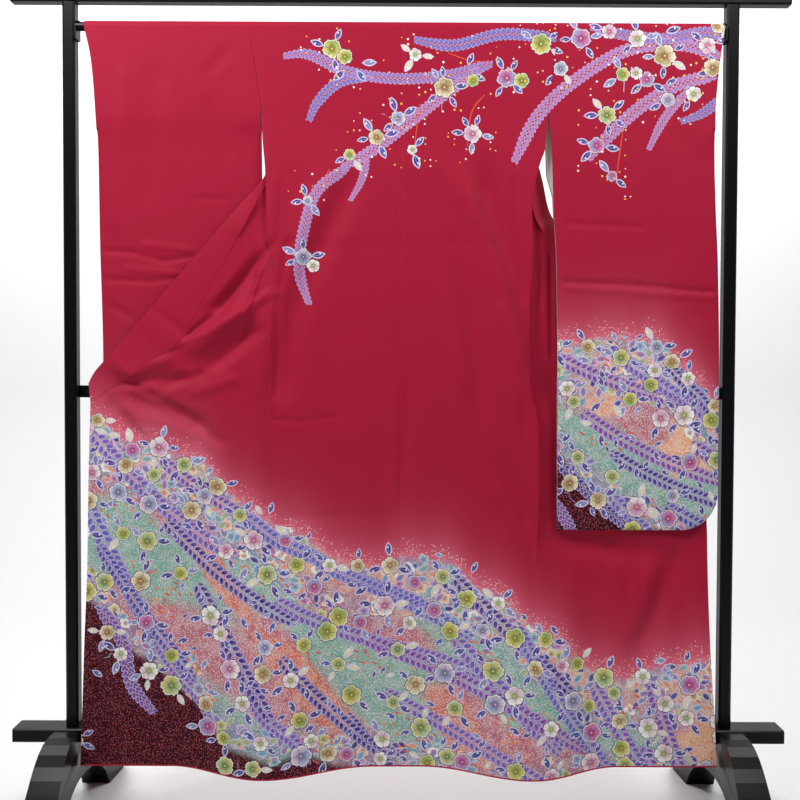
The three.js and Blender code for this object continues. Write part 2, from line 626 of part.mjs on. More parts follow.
// A flat cradle on the post's inner face that the rod lies in.
function rodHook() {
  const { low, high, back, front, thickness } = HOOK;
  const radius = ROD_RADIUS + GAP;
  const shape = new THREE.Shape();
  shape.moveTo(-front, low);
  shape.lineTo(back, low);
  shape.lineTo(back, high);
  shape.lineTo(radius, high);
  shape.lineTo(radius, ROD_Z);
  shape.absarc(0, ROD_Z, radius, 0, -Math.PI, true);
  shape.lineTo(-front, ROD_Z);
  shape.closePath();
  const geometry = new THREE.ExtrudeGeometry(shape, {
    depth: thickness, bevelEnabled: false, curveSegments: 10,
  });
  geometry.rotateX(Math.PI / 2);
  geometry.rotateZ(Math.PI / 2);
  return geometry;
}

function addStand() {
  const inner = POST.x - POST.width / 2;
  const postHeight = TOP_RAIL.bottom - BAR.top - 2 * GAP;
  for (const [side, sign] of [["left", -1], ["right", 1]]) {
    const postBar = chamferedBar(postHeight, POST.width, POST.depth, POST.chamfer);
    const post = addPiece(`post_${side}`, postBar, LACQUER);
    post.position.set(sign * POST.x, 0, BAR.top + GAP);
    const base = addPiece(`foot_${side}`, foot(), LACQUER);
    base.position.set(sign * FOOT.x, 0, 0);
    const hook = addPiece(`rod_hook_${side}`, rodHook(), LACQUER);
    const hookX = sign < 0 ? -inner + GAP : inner - GAP - HOOK.thickness;
    hook.position.set(hookX, ROD_Y, 0);
  }
  addBarAlongX("base_bar", BAR);
  addBarAlongX("top_rail", TOP_RAIL);
  addBarAlongX("mid_rail", { ...MID_RAIL, length: 2 * (inner - GAP) });
  const rodShape = new THREE.CylinderGeometry(ROD_RADIUS, ROD_RADIUS, 2 * (inner - GAP), 16);
  const rod = addPiece("hanging_rod", rodShape, LACQUER);
  rod.rotation.set(0, 0, Math.PI / 2);
  rod.position.set(0, ROD_Y, ROD_Z);
}

// ---- assembly -------------------------------------------------------------------------------
addPiece("back_left", backPanel("left"), SILK);
addPiece("back_right", backPanel("right"), SILK);
addPiece("front_left", frontPanel("left"), SILK);
addPiece("front_right", frontPanel("right"), SILK);
addPiece("overlap_left", overlapPanel("left"), SILK);
addPiece("overlap_right", overlapPanel("right"), SILK);
addPiece("collar", collarBand(), SILK);
addPiece("sleeve_left", sleeve("left"), SILK);
addPiece("sleeve_right", sleeve("right"), SILK);
addStand();

export default group;
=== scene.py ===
"""A furisode, the long-sleeved silk kimono, hung back outward on a black lacquered stand.

Lengths are in millimetres until a mesh is made. The cloth's form repeats the tables of the CAD
source: every panel is a fine grid on the same surface as its solid, with creases of its own.
"""

import math

import bpy
import numpy as np
from mathutils import Matrix, Vector


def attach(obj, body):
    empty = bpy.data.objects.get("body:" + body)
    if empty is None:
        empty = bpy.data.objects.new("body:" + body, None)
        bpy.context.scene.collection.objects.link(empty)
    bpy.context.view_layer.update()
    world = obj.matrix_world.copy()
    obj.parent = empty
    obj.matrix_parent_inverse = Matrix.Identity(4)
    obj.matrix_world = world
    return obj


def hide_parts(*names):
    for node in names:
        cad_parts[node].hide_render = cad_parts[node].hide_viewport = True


MM = 0.001
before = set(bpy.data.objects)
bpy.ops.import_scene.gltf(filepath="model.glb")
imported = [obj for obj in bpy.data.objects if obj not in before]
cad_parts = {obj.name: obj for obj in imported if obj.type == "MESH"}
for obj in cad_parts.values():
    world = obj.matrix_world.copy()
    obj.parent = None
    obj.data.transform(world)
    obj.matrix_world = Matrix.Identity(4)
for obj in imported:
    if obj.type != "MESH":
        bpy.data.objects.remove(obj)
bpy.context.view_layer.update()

# ---- driving dimensions, the solids' and the sheets' ---------------------------------------
CELL = 5.5                  # spacing of the cloth grids
THICKNESS = 1.4             # outer silk to lining
GAP = 0.3                   # the solids stay this far apart at a seam
SEAM_LAP = 1.6              # the sheets lap over each other there
WALL = 2.0                  # the solids' wall, which holds each thin sheet
PANEL_WIDTH, OVERLAP_WIDTH, COLLAR_WIDTH, SLEEVE_WIDTH = 300.0, 145.0, 90.0, 345.0
ROD_Y, ROD_Z = -8.0, 1699.7
ROD_RADIUS, ROD_GAP = 9.5, 0.7
RIDE = ROD_RADIUS + ROD_GAP + WALL / 2      # the cloth's middle bends round the rod at this
HEM_Z, HEM_DIP, HEM_BULGE, BULGE_TOP_Z = 127.0, 12.5, 48.0, 660.0
CUFF = 217.0                # length of the wrist opening
ARMHOLE_Z = 1521.0          # the sleeve is sewn on above this height
KENSAKI_Z = 1035.0          # the overlap panel's point, where it meets the collar
COLLAR_END_Z = 905.0
CORNER = 80.0               # radius of the sleeve's rounded corner
SLEEVE_BOTTOM = 632.0
HEM_ROLL = 1.9              # radius of the rolled edge under the hem
FACING_TOP = 640.0          # the lining is crimson below this height


def table(names, rows):
    """A table with named columns, each an array from its first row to its last."""
    return dict(zip(names.split(), np.array(rows, float).T))


BACK_EDGE = table("z left right", [
    (1700, -324, 334), (1521, -298, 314), (1440, -291, 305), (1417, -288.5, 297),
    (1385, -286.5, 288), (1319, -284.5, 278), (1250, -281, 281), (1181, -267.5, 279.5),
    (1126, -267.5, 276.5), (953, -279, 277.5), (860, -284, 294), (762, -287, 297),
    (398, -287, 289.5), (100, -289, 284),
])
BACK_DEPTH = table("z y", [
    (1700, ROD_Y - RIDE), (1521, -20), (1385, -27), (1181, -30), (1000, -31), (800, -33),
    (500, -35), (205, -36), (100, -36),
])
FRONT = {
    "left": table("z clear behind edge_x edge_y pull1_x pull1_y pull2_x pull2_y", [
        (1700, -1, 22.4, -88, 3.2, 0, 0, 0, 0), (1600, -1, 22.5, -141, 12, 0.6, 2, -0.2, 5),
        (1521, -1.2, 22.3, -188, 26, -1.5, -4.2, 19.3, -6.1),
        (1497, -1.5, 15, -208, 28, 10.6, -13.2, 36.8, -12.6),
        (1472, -1.5, 10.5, -226, 26, 25.2, -16.7, 43.1, -15.3),
        (1448, -1, 6, -238, 22, 48.1, -14.5, 50.6, -12.7),
        (1424, 0, 3.5, -254, 9, 62.5, -10.7, 52.8, 1.2),
        (1400, 0, 2.6, -271, -9, 54, -4.2, 51.5, 15.9),
        (1375, 0, 2.6, -281, -17, 52.5, -1.5, 52.7, 21.5),
        (1357, 0, 2.6, -290, -20, 47.1, -0.3, 51.6, 22.6),
        (1300, 0, 2.5, -322, -24, 41, 1.2, 39, 14.6),
        (1240, 0, 2.5, -354, -25, 49, 1.6, 44, 5.5),
        (1181, 0.8, 2.4, -386, -26, 45, 1.1, 27, 1.5),
        (1126, 1, 0.5, -415, -27, 20, 4, 6, 0), (1035, 0.3, 0, -464, -28, 0, 0, 0, 0),
        (1005, 0.3, 0, -490, -28.5, 0, 0, 0, 0), (971, 0.3, 0, -513, -29, 0, 0, 0, 0),
        (925, 0.3, 0, -530, -29.5, 0, 0, 0, 0), (800, 0.3, 0, -531, -32, 0, 0, 0, 0),
        (632, 0.3, 0, -529, -34, 0, 0, 0, 0), (393, 0.3, 0, -526, -35.5, 0, 0, 0, 0),
        (205, 0.3, 0, -519, -36, 0, 0, 0, 0), (100, 0.3, 0, -514, -36, 0, 0, 0, 0),
    ]),
    "right": table("z clear behind edge_x edge_y pull1_x pull1_y pull2_x pull2_y", [
        (1700, -1, 22.4, 92, 3.2, 0, 0, 0, 0), (1600, -1, 22, 145, 12, 3.1, 2.3, 4.1, 5.1),
        (1521, -1.2, 17, 192, 26, -7.5, -1.7, -25.3, -4.3),
        (1497, -1.5, 15, 208, 28, -15.5, -13.2, -40.7, -11.6),
        (1472, -1.5, 10.5, 226, 27, -33.3, -17, -49.6, -14),
        (1448, -1, 6, 238, 24, -52.4, -15.2, -57.7, -12.1),
        (1424, 0, 3.5, 254, 14, -65.9, -12.3, -56, 1.8),
        (1400, 0, 2.6, 263, 3, -55.1, -8.2, -52.1, 11.9),
        (1375, 0, 2.6, 269, 2, -52.7, -7.8, -52.8, 14.8),
        (1357, 0, 2.6, 274, 1, -48.5, -7.3, -53.3, 15.6),
        (1300, 0, 2.5, 291, -1, -48, 2.5, -52, 23),
        (1240, 0, 2.4, 330, -2, -50, 10, -34, 14),
        (1181, 1.3, 1.2, 380, -2, -43, 26, -38, 10), (1126, 1.3, 1, 415, -2, -47, 23, -47, 9),
        (1035, 1.25, 0.9, 464, -2, -57, 20, -77, 9),
        (971, 1.25, 0.8, 504, -2, -68, 19, -104, 8.5),
        (925, 1.25, 0.8, 517, -2, -72, 20, -110, 9),
        (800, 1.25, 0.8, 518, -3, -68, 22, -110, 10),
        (660, 1.25, 0.8, 518, -4, -68, 22, -108, 10),
        (560, 0.8, 0.4, 518, -10, -40, 10, -50, 5), (430, 0.3, 0, 518, -24, 0, 0, 0, 0),
        (300, 0.3, 0, 518, -34, 0, 0, 0, 0), (205, 0.3, 0, 518, -36, 0, 0, 0, 0),
        (100, 0.3, 0, 517.5, -36, 0, 0, 0, 0),
    ]),
}
OVERLAP_EDGE = table("z left right", [
    (905, -657.5, 657), (772, -661, 661), (560, -664, 666), (390, -671, 668), (192, -678, 678),
    (100, -682, 682),
])
COLLAR_EDGE = table("along left_x right_x z left_y right_y", [
    (3, 2, -2, 1610, 8, 8), (2.5, -10, 10, 1608, 8, 8), (2, -24, 24, 1603, 8, 8),
    (1.86, -62, 62, 1572, 20, 20), (1.73, -126, 126, 1525, 38, 38),
    (1.69, -176, 176, 1496, 46, 46), (1.63, -226, 226, 1466, 44, 45),
    (1.585, -258, 264, 1436, 30, 41), (1.549, -276, 298, 1420, 4, 36),
    (1.486, -288, 308, 1385, -18.5, 31), (1.4, -346, 323, 1317, -22.5, 25),
    (1.265, -416, 394, 1236, -24.5, 10), (1.137, -478, 474, 1164, -25.5, 0),
    (1, -533, 533, 1100, -26.5, -2), (0.75, -571, 571, 1057, -27, -2),
    (0.5, -610, 610, 1011, -27.5, -2), (0.2, -652, 652, 962, -27.8, -2),
    (0, -661.5, 661.5, 943, -27.8, -2),
])
SLEEVE = {
    "left": table("z inner outer near far", [
        (1700, -324.3, -671, -19.2, 3.2), (1626, -313, -656, -18.4, 2.5),
        (1521, -298.3, -648, -17, 2), (1440, -297, -645, -11, 1.3),
        (1268, -295.5, -643, -7.5, 1), (990, -294.5, -637, -7.5, 1),
        (600, -293, -639, -7.5, 1),
    ]),
    "right": table("z inner outer near far", [
        (1700, 334.3, 685, -19.2, 3.2), (1606, 324.5, 673, -20, 0.5),
        (1521, 314.3, 667, -21, -4), (1440, 320, 667, -22, -8),
        (1325, 324.5, 670.5, -22.5, -9.5), (1196, 332, 677, -23, -9.5),
        (954, 336, 682, -24, -10), (600, 338, 682, -25, -11),
    ]),
}
FOLDS = table("from_x from_z to_x to_z depth width", [
    (-286, 1192, -420, 1078, 6, 26), (-300, 1120, -470, 1000, -10, 30),
    (-470, 1000, -640, 950, -7, 22), (-300, 1075, -440, 958, 9, 34),
    (-440, 958, -640, 938, 7, 20), (-630, 930, -395, 850, 10, 30),
    (-625, 915, -520, 790, 7, 20), (30, 1420, 250, 700, 5, 60),
    (-190, 1320, -110, 820, 3, 60), (400, 600, 410, 160, 6, 60),
    (600, 520, 590, 160, 5, 50),
])

# ---- curves through the tables ---------------------------------------------------------------


def column(rows, name, at, key="z"):
    """One column of a table at the places `at`, on a smooth curve that never overshoots."""
    x, y = rows[key][::-1], rows[name][::-1]
    slope = np.diff(y) / np.diff(x)
    inner = [0 if a * b <= 0 else 2 * a * b / (a + b) for a, b in zip(slope, slope[1:])]
    tangent = np.array([slope[0], *inner, slope[-1]])
    at = np.clip(np.asarray(at, float), x[0], x[-1])
    i = np.clip(np.searchsorted(x, at, side="right") - 1, 0, len(slope) - 1)
    length = x[i + 1] - x[i]
    t = (at - x[i]) / length
    bend = (1 - t) * tangent[i] - t * tangent[i + 1]
    return y[i] + (y[i + 1] - y[i]) * t * t * (3 - 2 * t) + length * t * (1 - t) * bend


def ease(share):
    """0 to 1, with soft ends."""
    s = np.clip(share, 0, 1)
    return s * s * (3 - 2 * s)


def mix(low, high, share):
    """The value between low, where share is 0, and high, where it is 1."""
    return low + (high - low) * share


def sections(length, cell=CELL, edge=(0, 1.3, 3.2, 6.0)):
    """Shares of a length: close together at both ends, for the seams, and even between them."""
    count = max(2, round((length - 2 * edge[-1]) / cell))
    middle = np.linspace(edge[-1], length - edge[-1], count + 1)[1:-1]
    return np.array([*edge, *middle, *(length - e for e in reversed(edge))]) / length


def crease_depth(rows, x, z):
    """Depth of all the soft troughs and ridges of a table at each place."""
    total = np.zeros(np.broadcast(x, z).shape)
    for x0, z0, x1, z1, depth, width in np.array(list(rows.values())).T:
        length = math.hypot(x1 - x0, z1 - z0)
        along = ((x - x0) * (x1 - x0) + (z - z0) * (z1 - z0)) / length
        across = ((x - x0) * (z1 - z0) - (z - z0) * (x1 - x0)) / length
        end = min(width * 1.5, length / 2)
        ends = ease(along / end) * ease((length - along) / end)
        total = total + depth * ease(1 - np.abs(across) / width) * ends
    return total


def curve_through(points, step=6.0):
    """Points at even steps on a smooth curve through the given ones."""
    p = np.array(points, float)
    p = np.vstack([2 * p[0] - p[1], p, 2 * p[-1] - p[-2]])
    t = np.linspace(0, 1, 24, endpoint=False)[:, None]
    line = [
        0.5 * (2 * b + (c - a) * t + (2 * a - 5 * b + 4 * c - d) * t**2
               + (3 * b - a - 3 * c + d) * t**3)
        for a, b, c, d in zip(p, p[1:], p[2:], p[3:])
    ]
    line = np.vstack([*line, p[-2:-1]])
    distance = np.concatenate([[0], np.cumsum(np.linalg.norm(np.diff(line, axis=0), axis=1))])
    even = np.linspace(0, distance[-1], max(3, round(distance[-1] / step)))
    return np.stack([np.interp(even, distance, line[:, k]) for k in (0, 1)], -1)


def follow(line, point):
    """For each point the distance from a curve, its side of it, how far along, and the length."""
    start, step = line[:-1], np.diff(line, axis=0)
    size = np.linalg.norm(step, axis=1)
    offset = point[..., None, :] - start
    share = np.clip((offset * step).sum(-1) / size**2, 0, 1)
    offset = offset - step * share[..., None]
    distance = np.linalg.norm(offset, axis=-1)
    nearest = distance.argmin(-1)[..., None]
    turned = np.sign(step[:, 0] * offset[..., 1] - step[:, 1] * offset[..., 0])
    along = np.cumsum(size) - size + share * size
    found = (np.take_along_axis(a, nearest, -1)[..., 0] for a in (distance, turned, along))
    return (*found, size.sum())


# Creases that are too small for the solids. Depth above 0 is a trough.
CREASES = table("from_x from_z to_x to_z depth width", [
    (-290, 1226, -398, 1086, 9, 22), (-392, 1092, -462, 1036, 6, 13),
    (-294, 1190, -346, 1030, -5, 9), (-266, 1142, -412, 1046, -6, 17),
    (-402, 1052, -520, 1010, -4, 13), (-280, 1076, -408, 966, 7, 26), (-400, 970, -520, 930, 5, 17),
    (-622, 962, -500, 908, 5, 14), (-512, 914, -440, 866, 6, 18), (-456, 876, -362, 806, 6, 22),
    (-608, 976, -540, 950, -4, 12), (-330, 960, -460, 915, -4, 20), (-262, 1250, -380, 1120, 3, 14),
    (-640, 935, -590, 850, 3, 12), (-600, 930, -545, 850, -3, 14), (-300, 1340, -352, 1250, -3, 14),
    (-250, 1420, -190, 1340, 1.6, 30), (-262, 1395, -276, 1230, -2.2, 16),
    (-250, 1490, 260, 1400, 1.2, 40), (-240, 1225, 240, 1245, 0.9, 26),
    (-280, 868, -200, 862, 2.2, 9), (-210, 862, -115, 878, 1.8, 9), (-270, 655, 0, 668, 1.5, 18),
    (90, 1330, 140, 900, -2.6, 40), (60, 1500, 70, 1180, -2.0, 50),
    (240, 1390, 262, 1110, 2.5, 14), (60, 760, 240, 640, 1.6, 34), (-120, 1260, -90, 1000, 2.0, 44),
    (-120, 1050, -60, 640, -2.0, 46), (-230, 620, -170, 250, -2.8, 38), (262, 1000, 270, 640, 2.4, 18),
    (-60, 520, -90, 200, 2.4, 44), (120, 560, 150, 200, -2.6, 46), (-240, 1240, -236, 900, 2.4, 22),
    (-470, 760, -440, 300, 2.4, 40), (-400, 620, -360, 220, -2.8, 36), (-350, 820, -330, 560, 2.0, 30),
    (-620, 700, -600, 300, 2.0, 30), (470, 590, 470, 250, -3.2, 34), (560, 600, 556, 300, 3.0, 30),
    (350, 600, 340, 240, 3.0, 36), (640, 560, 650, 260, -2.4, 26), (300, 1300, 306, 1080, -3.0, 12),
    (322, 1230, 326, 990, 3.5, 10), (-232, 1262, -258, 1130, 5, 15), (-258, 1140, -264, 900, 5, 13),
    (-268, 900, -270, 700, 3, 12), (156, 1300, 214, 1100, 3, 18), (660, 900, 656, 620, 4, 26),
    (400, 760, 520, 420, 3.5, 34), (284, 620, 288, 330, 3, 16), (-6, 1500, -4, 700, 1.2, 8),
])
# Long folds: depth, width, lean and points from top to bottom. Lean 0 is a trough, and 1 is a
# step that lies deeper to the right of the line, or with lean below 0 to its left.
SWEEPS = [
    (12.0, 25, 0.75, [(138, 1425), (188, 1275), (240, 1130), (276, 985), (290, 850)]),
    (4.0, 18, 0.60, [(96, 1380), (128, 1180), (150, 960), (158, 800)]),
    (9.0, 24, 0.70, [(-104, 1425), (-160, 1300), (-226, 1150), (-262, 1010), (-274, 880)]),
    (3.5, 10, 0.60, [(6, 1000), (2, 800), (-8, 640)]),
    (8.0, 20, 0.75, [(190, 800), (236, 690), (292, 570)]),
    (11.0, 22, 0.75, [(606, 620), (545, 490), (490, 350)]),
    (9.0, 24, -0.80, [(300, 628), (450, 612), (640, 590)]),
    (4.0, 26, 0.60, [(-560, 640), (-500, 420), (-470, 240)]),
    (4.0, 28, 0.60, [(-230, 520), (-180, 360), (-150, 200)]),
]
SWEEP_END = 90.0            # a long fold rises over this length at each end
SWEEP_STEP = 14.0
RIPPLE_TOP, RIPPLE_FADE = 1690.0, 90.0  # silk is taut above this height, and within this below
# A side seam's place along the hem, and how far its bulge reaches outward and inward.
HEM_BUMPS = [(-289, 200, 235), (284, 185, 235)]


def sweep_depth(x, z):
    """Depth of the long folds at each place."""
    place = np.stack(np.broadcast_arrays(x, z), -1)
    total = np.zeros(place.shape[:-1])
    for depth, width, lean, points in SWEEPS:
        line = curve_through(points, SWEEP_STEP)
        distance, turned, along, length = follow(line, place)
        away = distance / width
        ends = ease(along / SWEEP_END) * ease((length - along) / SWEEP_END)
        trough = np.exp(-0.5 * away**2)
        leaning = turned * away * np.exp(0.5 - 0.5 * away**2)
        total = total + depth * ends * ((1 - abs(lean)) * trough + lean * leaning)
    return total


def seam_bump(x):
    """1 at a side seam's place along the hem, falling to 0 on both sides."""
    total = 0
    for at, outer, inner in HEM_BUMPS:
        reach = np.where((np.abs(x) < abs(at)) | (x * at < 0), inner, outer)
        total = total + 0.5 + 0.5 * np.cos(np.pi * np.minimum(1, np.abs(x - at) / reach))
    return total


def ripple(x, z):
    """The slight unevenness of hanging silk."""
    wide = np.sin(x / 71 + z / 310) * np.sin(z / 127 - x / 233)
    fine = np.sin(x / 23 + 1.3 * np.sin(z / 57)) * np.sin(z / 39 + x / 61)
    return 0.55 * wide + 0.16 * fine


def hang(x, y, z):
    """Real places of nominal points of the hanging cloth: hem bulge, hem dip and folds."""
    low = ease((BULGE_TOP_Z - z) / (BULGE_TOP_Z - HEM_Z))
    bump = seam_bump(x)
    depth = crease_depth(FOLDS, x, z) + crease_depth(CREASES, x, z) + sweep_depth(x, z)
    depth = depth + ripple(x, z) * ease((RIPPLE_TOP - z) / RIPPLE_FADE)
    return np.stack([x, y - HEM_BULGE * bump * low + depth, z - HEM_DIP * bump * low**3], -1)


# ---- meshes ----------------------------------------------------------------------------------


def make_object(name, points, faces, materials, face_slots=None, smooth=None):
    """A mesh object from points in millimetres, smooth where smooth is true or not given."""
    mesh = bpy.data.meshes.new(name)
    sizes = np.array([len(face) for face in faces])
    mesh.vertices.add(len(points))
    mesh.vertices.foreach_set("co", (np.asarray(points, float) * MM).ravel())
    mesh.loops.add(int(sizes.sum()))
    mesh.loops.foreach_set("vertex_index", np.concatenate([np.asarray(f) for f in faces]))
    mesh.polygons.add(len(faces))
    mesh.polygons.foreach_set("loop_start", np.concatenate([[0], np.cumsum(sizes)[:-1]]))
    mesh.update(calc_edges=True)
    mesh.validate()
    mesh.polygons.foreach_set("use_smooth", smooth or [True] * len(mesh.polygons))
    for material in materials:
        mesh.materials.append(material)
    if face_slots is not None:
        mesh.polygons.foreach_set("material_index", face_slots)
    obj = bpy.data.objects.new(name, mesh)
    bpy.context.scene.collection.objects.link(obj)
    return obj


def normals_of(grid):
    """The unit normal at each point of a grid. At seams it points straight out of the plane."""
    along = np.gradient(grid, axis=0)
    across = np.gradient(grid, axis=1)
    normal = np.cross(along, across)
    normal = normal / np.maximum(1e-9, np.linalg.norm(normal, axis=-1, keepdims=True))
    for edge in (normal[:, 0], normal[:, -1], normal[0]):
        flat = np.abs(edge[:, 1]) > 0.5
        edge[flat] = np.sign(edge[flat, 1:2]) * [0, 1, 0]
    return normal


def grid_faces(rows, columns, start=0, flip=False):
    """Quads of a grid of points numbered row by row."""
    index = start + np.arange(rows * columns).reshape(rows, columns)
    corners = [index[:-1, :-1], index[1:, :-1], index[1:, 1:], index[:-1, 1:]]
    if flip:
        corners.reverse()
    return np.stack(corners, -1).reshape(-1, 4)


def rim_faces(rows, columns, offset):
    """Quads that close the edge between a grid and its copy `offset` points later."""
    index = np.arange(rows * columns).reshape(rows, columns)
    ring = [*index[0, :-1], *index[:-1, -1], *index[-1, :0:-1], *index[:0:-1, 0]]
    return [(a, b, b + offset, a + offset) for a, b in zip(ring, ring[1:] + ring[:1])]


TURNED_IN = 1               # grid columns at each edge where the silk is turned to the inside
WELT_SIDES = 8


def cloth(name, grid, materials, thickness=THICKNESS):
    """A thin sheet on a grid of points, with its outside towards the viewer."""
    rows, columns = grid.shape[:2]
    normal = normals_of(grid)
    if normal[rows // 2, columns // 2, 1] > 0:
        normal = -normal
    outer = grid + normal * thickness / 2
    inner = grid - normal * thickness / 2
    points = np.concatenate([outer.reshape(-1, 3), inner.reshape(-1, 3)])
    count = rows * columns
    a, b, c = points[0], points[columns], points[columns + 1]
    flip = bool(np.dot(np.cross(b - a, c - a), normal[0, 0]) < 0)
    faces = [*grid_faces(rows, columns, 0, flip), *grid_faces(rows, columns, count, not flip)]
    rim = rim_faces(rows, columns, count)
    faces += rim if flip else [face[::-1] for face in rim]
    quads = (rows - 1) * (columns - 1)
    column_of = np.arange(quads) % (columns - 1)
    lined = (column_of >= TURNED_IN) & (column_of < columns - 1 - TURNED_IN)
    slots = [0] * quads + lined.astype(int).tolist() + [0] * len(rim)
    smooth = [True] * 2 * quads + [False] * len(rim)
    obj = make_object(name, points, faces, materials, slots, smooth)
    add_plan(obj, points)
    return obj


def hem_roll(name, line):
    """The lining's rolled edge, which shows as a thin round welt under the hem."""
    angles = np.linspace(0, 2 * math.pi, WELT_SIDES, endpoint=False)
    ring = np.stack([0 * angles, np.cos(angles), np.sin(angles)], -1) * HEM_ROLL
    points = (line[:, None] + ring).reshape(-1, 3)
    index = np.arange(len(points)).reshape(-1, WELT_SIDES)
    beside = np.roll(index, -1, axis=1)
    faces = list(np.stack([index[:-1], beside[:-1], beside[1:], index[1:]], -1).reshape(-1, 4))
    faces += [index[0][::-1], index[-1]]
    roll = make_object(name, points, faces, [facing])
    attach(roll, "root")
    return roll


def add_plan(obj, points):
    """Stores each point's place in the hanging plane, in metres, for the materials."""
    plan = obj.data.attributes.new("plan", "FLOAT_VECTOR", "POINT")
    flat = np.stack([points[:, 0], points[:, 2], points[:, 1]], -1) * MM
    plan.data.foreach_set("vector", flat.astype(np.float32).ravel())


# ---- the body of the garment -------------------------------------------------------------------
SEAM_ROLL = 1.3             # a sewn edge turns away from the viewer by this much
SEAM_REACH = 2.4            # within about this distance of the seam
DROP = ROD_Z - HEM_Z
HEIGHTS = ROD_Z - DROP * sections(DROP)
ACROSS = sections(PANEL_WIDTH)


def sign_of(side):
    """The direction of X on a side."""
    return -1 if side == "left" else 1


def seam_roll(shares):
    """How far a panel's sewn edges turn in, for shares across it."""
    distance = np.minimum(shares, 1 - shares) * PANEL_WIDTH
    return SEAM_ROLL * np.exp(-((distance / SEAM_REACH) ** 2))


def over_rod(x, first, last):
    """Rows round the rod, from one angle to another. Angle 0 is on the viewer's side."""
    angles = np.linspace(first, last, 14)[:, None]
    y = ROD_Y - RIDE * np.cos(angles)
    z = ROD_Z + RIDE * np.sin(angles)
    return np.stack(np.broadcast_arrays(x, y, z), -1)


def back_grid(side):
    """A back panel: behind the rod, over it, and down to the hem."""
    z = HEIGHTS[:, None]
    middle = mix(-2, 3.5, (z - HEM_Z) / DROP) - sign_of(side) * SEAM_LAP / 2
    x = mix(middle, column(BACK_EDGE, side, z), ACROSS)
    hung = hang(x, column(BACK_DEPTH, "y", z) + seam_roll(ACROSS), z + 0 * x)
    return np.concatenate([over_rod(x[0], math.pi, 0)[:-1], hung])


def bezier(points, shares):
    """Points at even shares of the length of many cubic curves at once."""
    t = np.linspace(0, 1, 97)[None, :, None]
    weights = [(1 - t) ** 3, 3 * t * (1 - t) ** 2, 3 * t * t * (1 - t), t**3]
    curve = sum(w * p[:, None, :] for w, p in zip(weights, points))
    steps = np.linalg.norm(np.diff(curve, axis=1), axis=2)
    travelled = np.concatenate([np.zeros((len(steps), 1)), np.cumsum(steps, 1)], 1)
    rows = []
    for line, distance in zip(curve, travelled):
        at = shares * distance[-1]
        rows.append(np.stack([np.interp(at, distance, line[:, k]) for k in (0, 1)], -1))
    return np.array(rows)


def front_grid(side):
    """A front panel: from the side seam, round its slack loop, to the collar or overlap seam."""
    rows = FRONT[side]
    z = HEIGHTS
    at = {name: column(rows, name, z) for name in rows if name != "z"}
    spared = GAP + SEAM_LAP + (WALL - THICKNESS) / 2 * ease((at["behind"] - 0.3) / 0.4)
    seam = np.stack([
        column(BACK_EDGE, side, z) + sign_of(side) * (at["clear"] - spared),
        column(BACK_DEPTH, "y", z) + at["behind"],
    ], -1)
    edge = np.stack([at["edge_x"], at["edge_y"]], -1)
    first = seam + (edge - seam) / 3 + np.stack([at["pull1_x"], at["pull1_y"]], -1)
    second = seam + (edge - seam) * 2 / 3 + np.stack([at["pull2_x"], at["pull2_y"]], -1)
    plan = bezier([seam, first, second, edge], ACROSS)
    return hang(plan[..., 0], plan[..., 1] + seam_roll(ACROSS), z[:, None] + 0 * plan[..., 0])


def overlap_rows(side, z, shares):
    """Rows across the overlap panel, each from height z on the front panel to the free edge."""
    rows = FRONT[side]
    z = np.asarray(z, float)[:, None]
    outer_z = mix(COLLAR_END_Z, HEM_Z, (KENSAKI_Z - z) / (KENSAKI_Z - HEM_Z))
    inner_x = column(rows, "edge_x", z) - sign_of(side) * 2 * SEAM_LAP
    x = mix(inner_x, column(OVERLAP_EDGE, side, outer_z), shares)
    rolled = SEAM_ROLL * np.exp(-((shares * OVERLAP_WIDTH / SEAM_REACH) ** 2))
    return hang(x, column(rows, "edge_y", z) + rolled, mix(z, outer_z, shares))


def overlap_grid(side):
    """An overlap panel, from its pointed top to the hem."""
    height = KENSAKI_Z - HEM_Z
    z = KENSAKI_Z - 2 * GAP - (height - 2 * GAP) * sections(height)
    return overlap_rows(side, z, sections(OVERLAP_WIDTH))


# ---- the collar band ---------------------------------------------------------------------------
COLLAR_THICKNESS = 1.9
COLLAR_ROLL = 0.7           # the sewn edge turns away from the viewer by this much
COLLAR_PUFF = 0.8           # the band swells between its edges


def collar_half(side):
    """Half of the band, from its end on the front edge to the middle of the neck."""
    slant = np.linspace(0, 1, 36)[:-1]
    front = np.linspace(1, 2, 150)
    neck = np.linspace(2, 2.97, 18)[1:]
    along = np.concatenate([slant, front, neck])
    below = overlap_rows(side, [KENSAKI_Z], 1 - slant)[0]
    z = mix(KENSAKI_Z, ROD_Z, front - 1)
    beside = hang(column(FRONT[side], "edge_x", z), column(FRONT[side], "edge_y", z), z)
    top = beside[-1] * np.stack([3 - neck, 1 + 0 * neck, 1 + 0 * neck], -1)
    seam = np.concatenate([below, beside, top])
    edge = [column(COLLAR_EDGE, name, along, "along") for name in (f"{side}_x", f"{side}_y", "z")]
    free = hang(*edge)
    direction = free - seam
    direction = direction / np.linalg.norm(direction, axis=1, keepdims=True)
    turned = ease((along - 1.4) / 0.1) * ease((1.8 - along) / 0.1)
    start = seam + direction * (turned * WALL - 2 * SEAM_LAP)[:, None]
    start[:, 2] -= 3 * GAP * ease((along - 1.9) / 0.1)
    shares = sections(COLLAR_WIDTH, 7.0, (0, 1.0, 2.6, 5.0))[None, :, None]
    grid = start[:, None] + (free - start)[:, None] * shares
    grid[..., 1] += COLLAR_ROLL * np.exp(-((shares[..., 0] * COLLAR_WIDTH / 2.5) ** 2))
    grid[..., 1] -= COLLAR_PUFF * np.sin(np.pi * shares[..., 0]) ** 0.5
    return grid


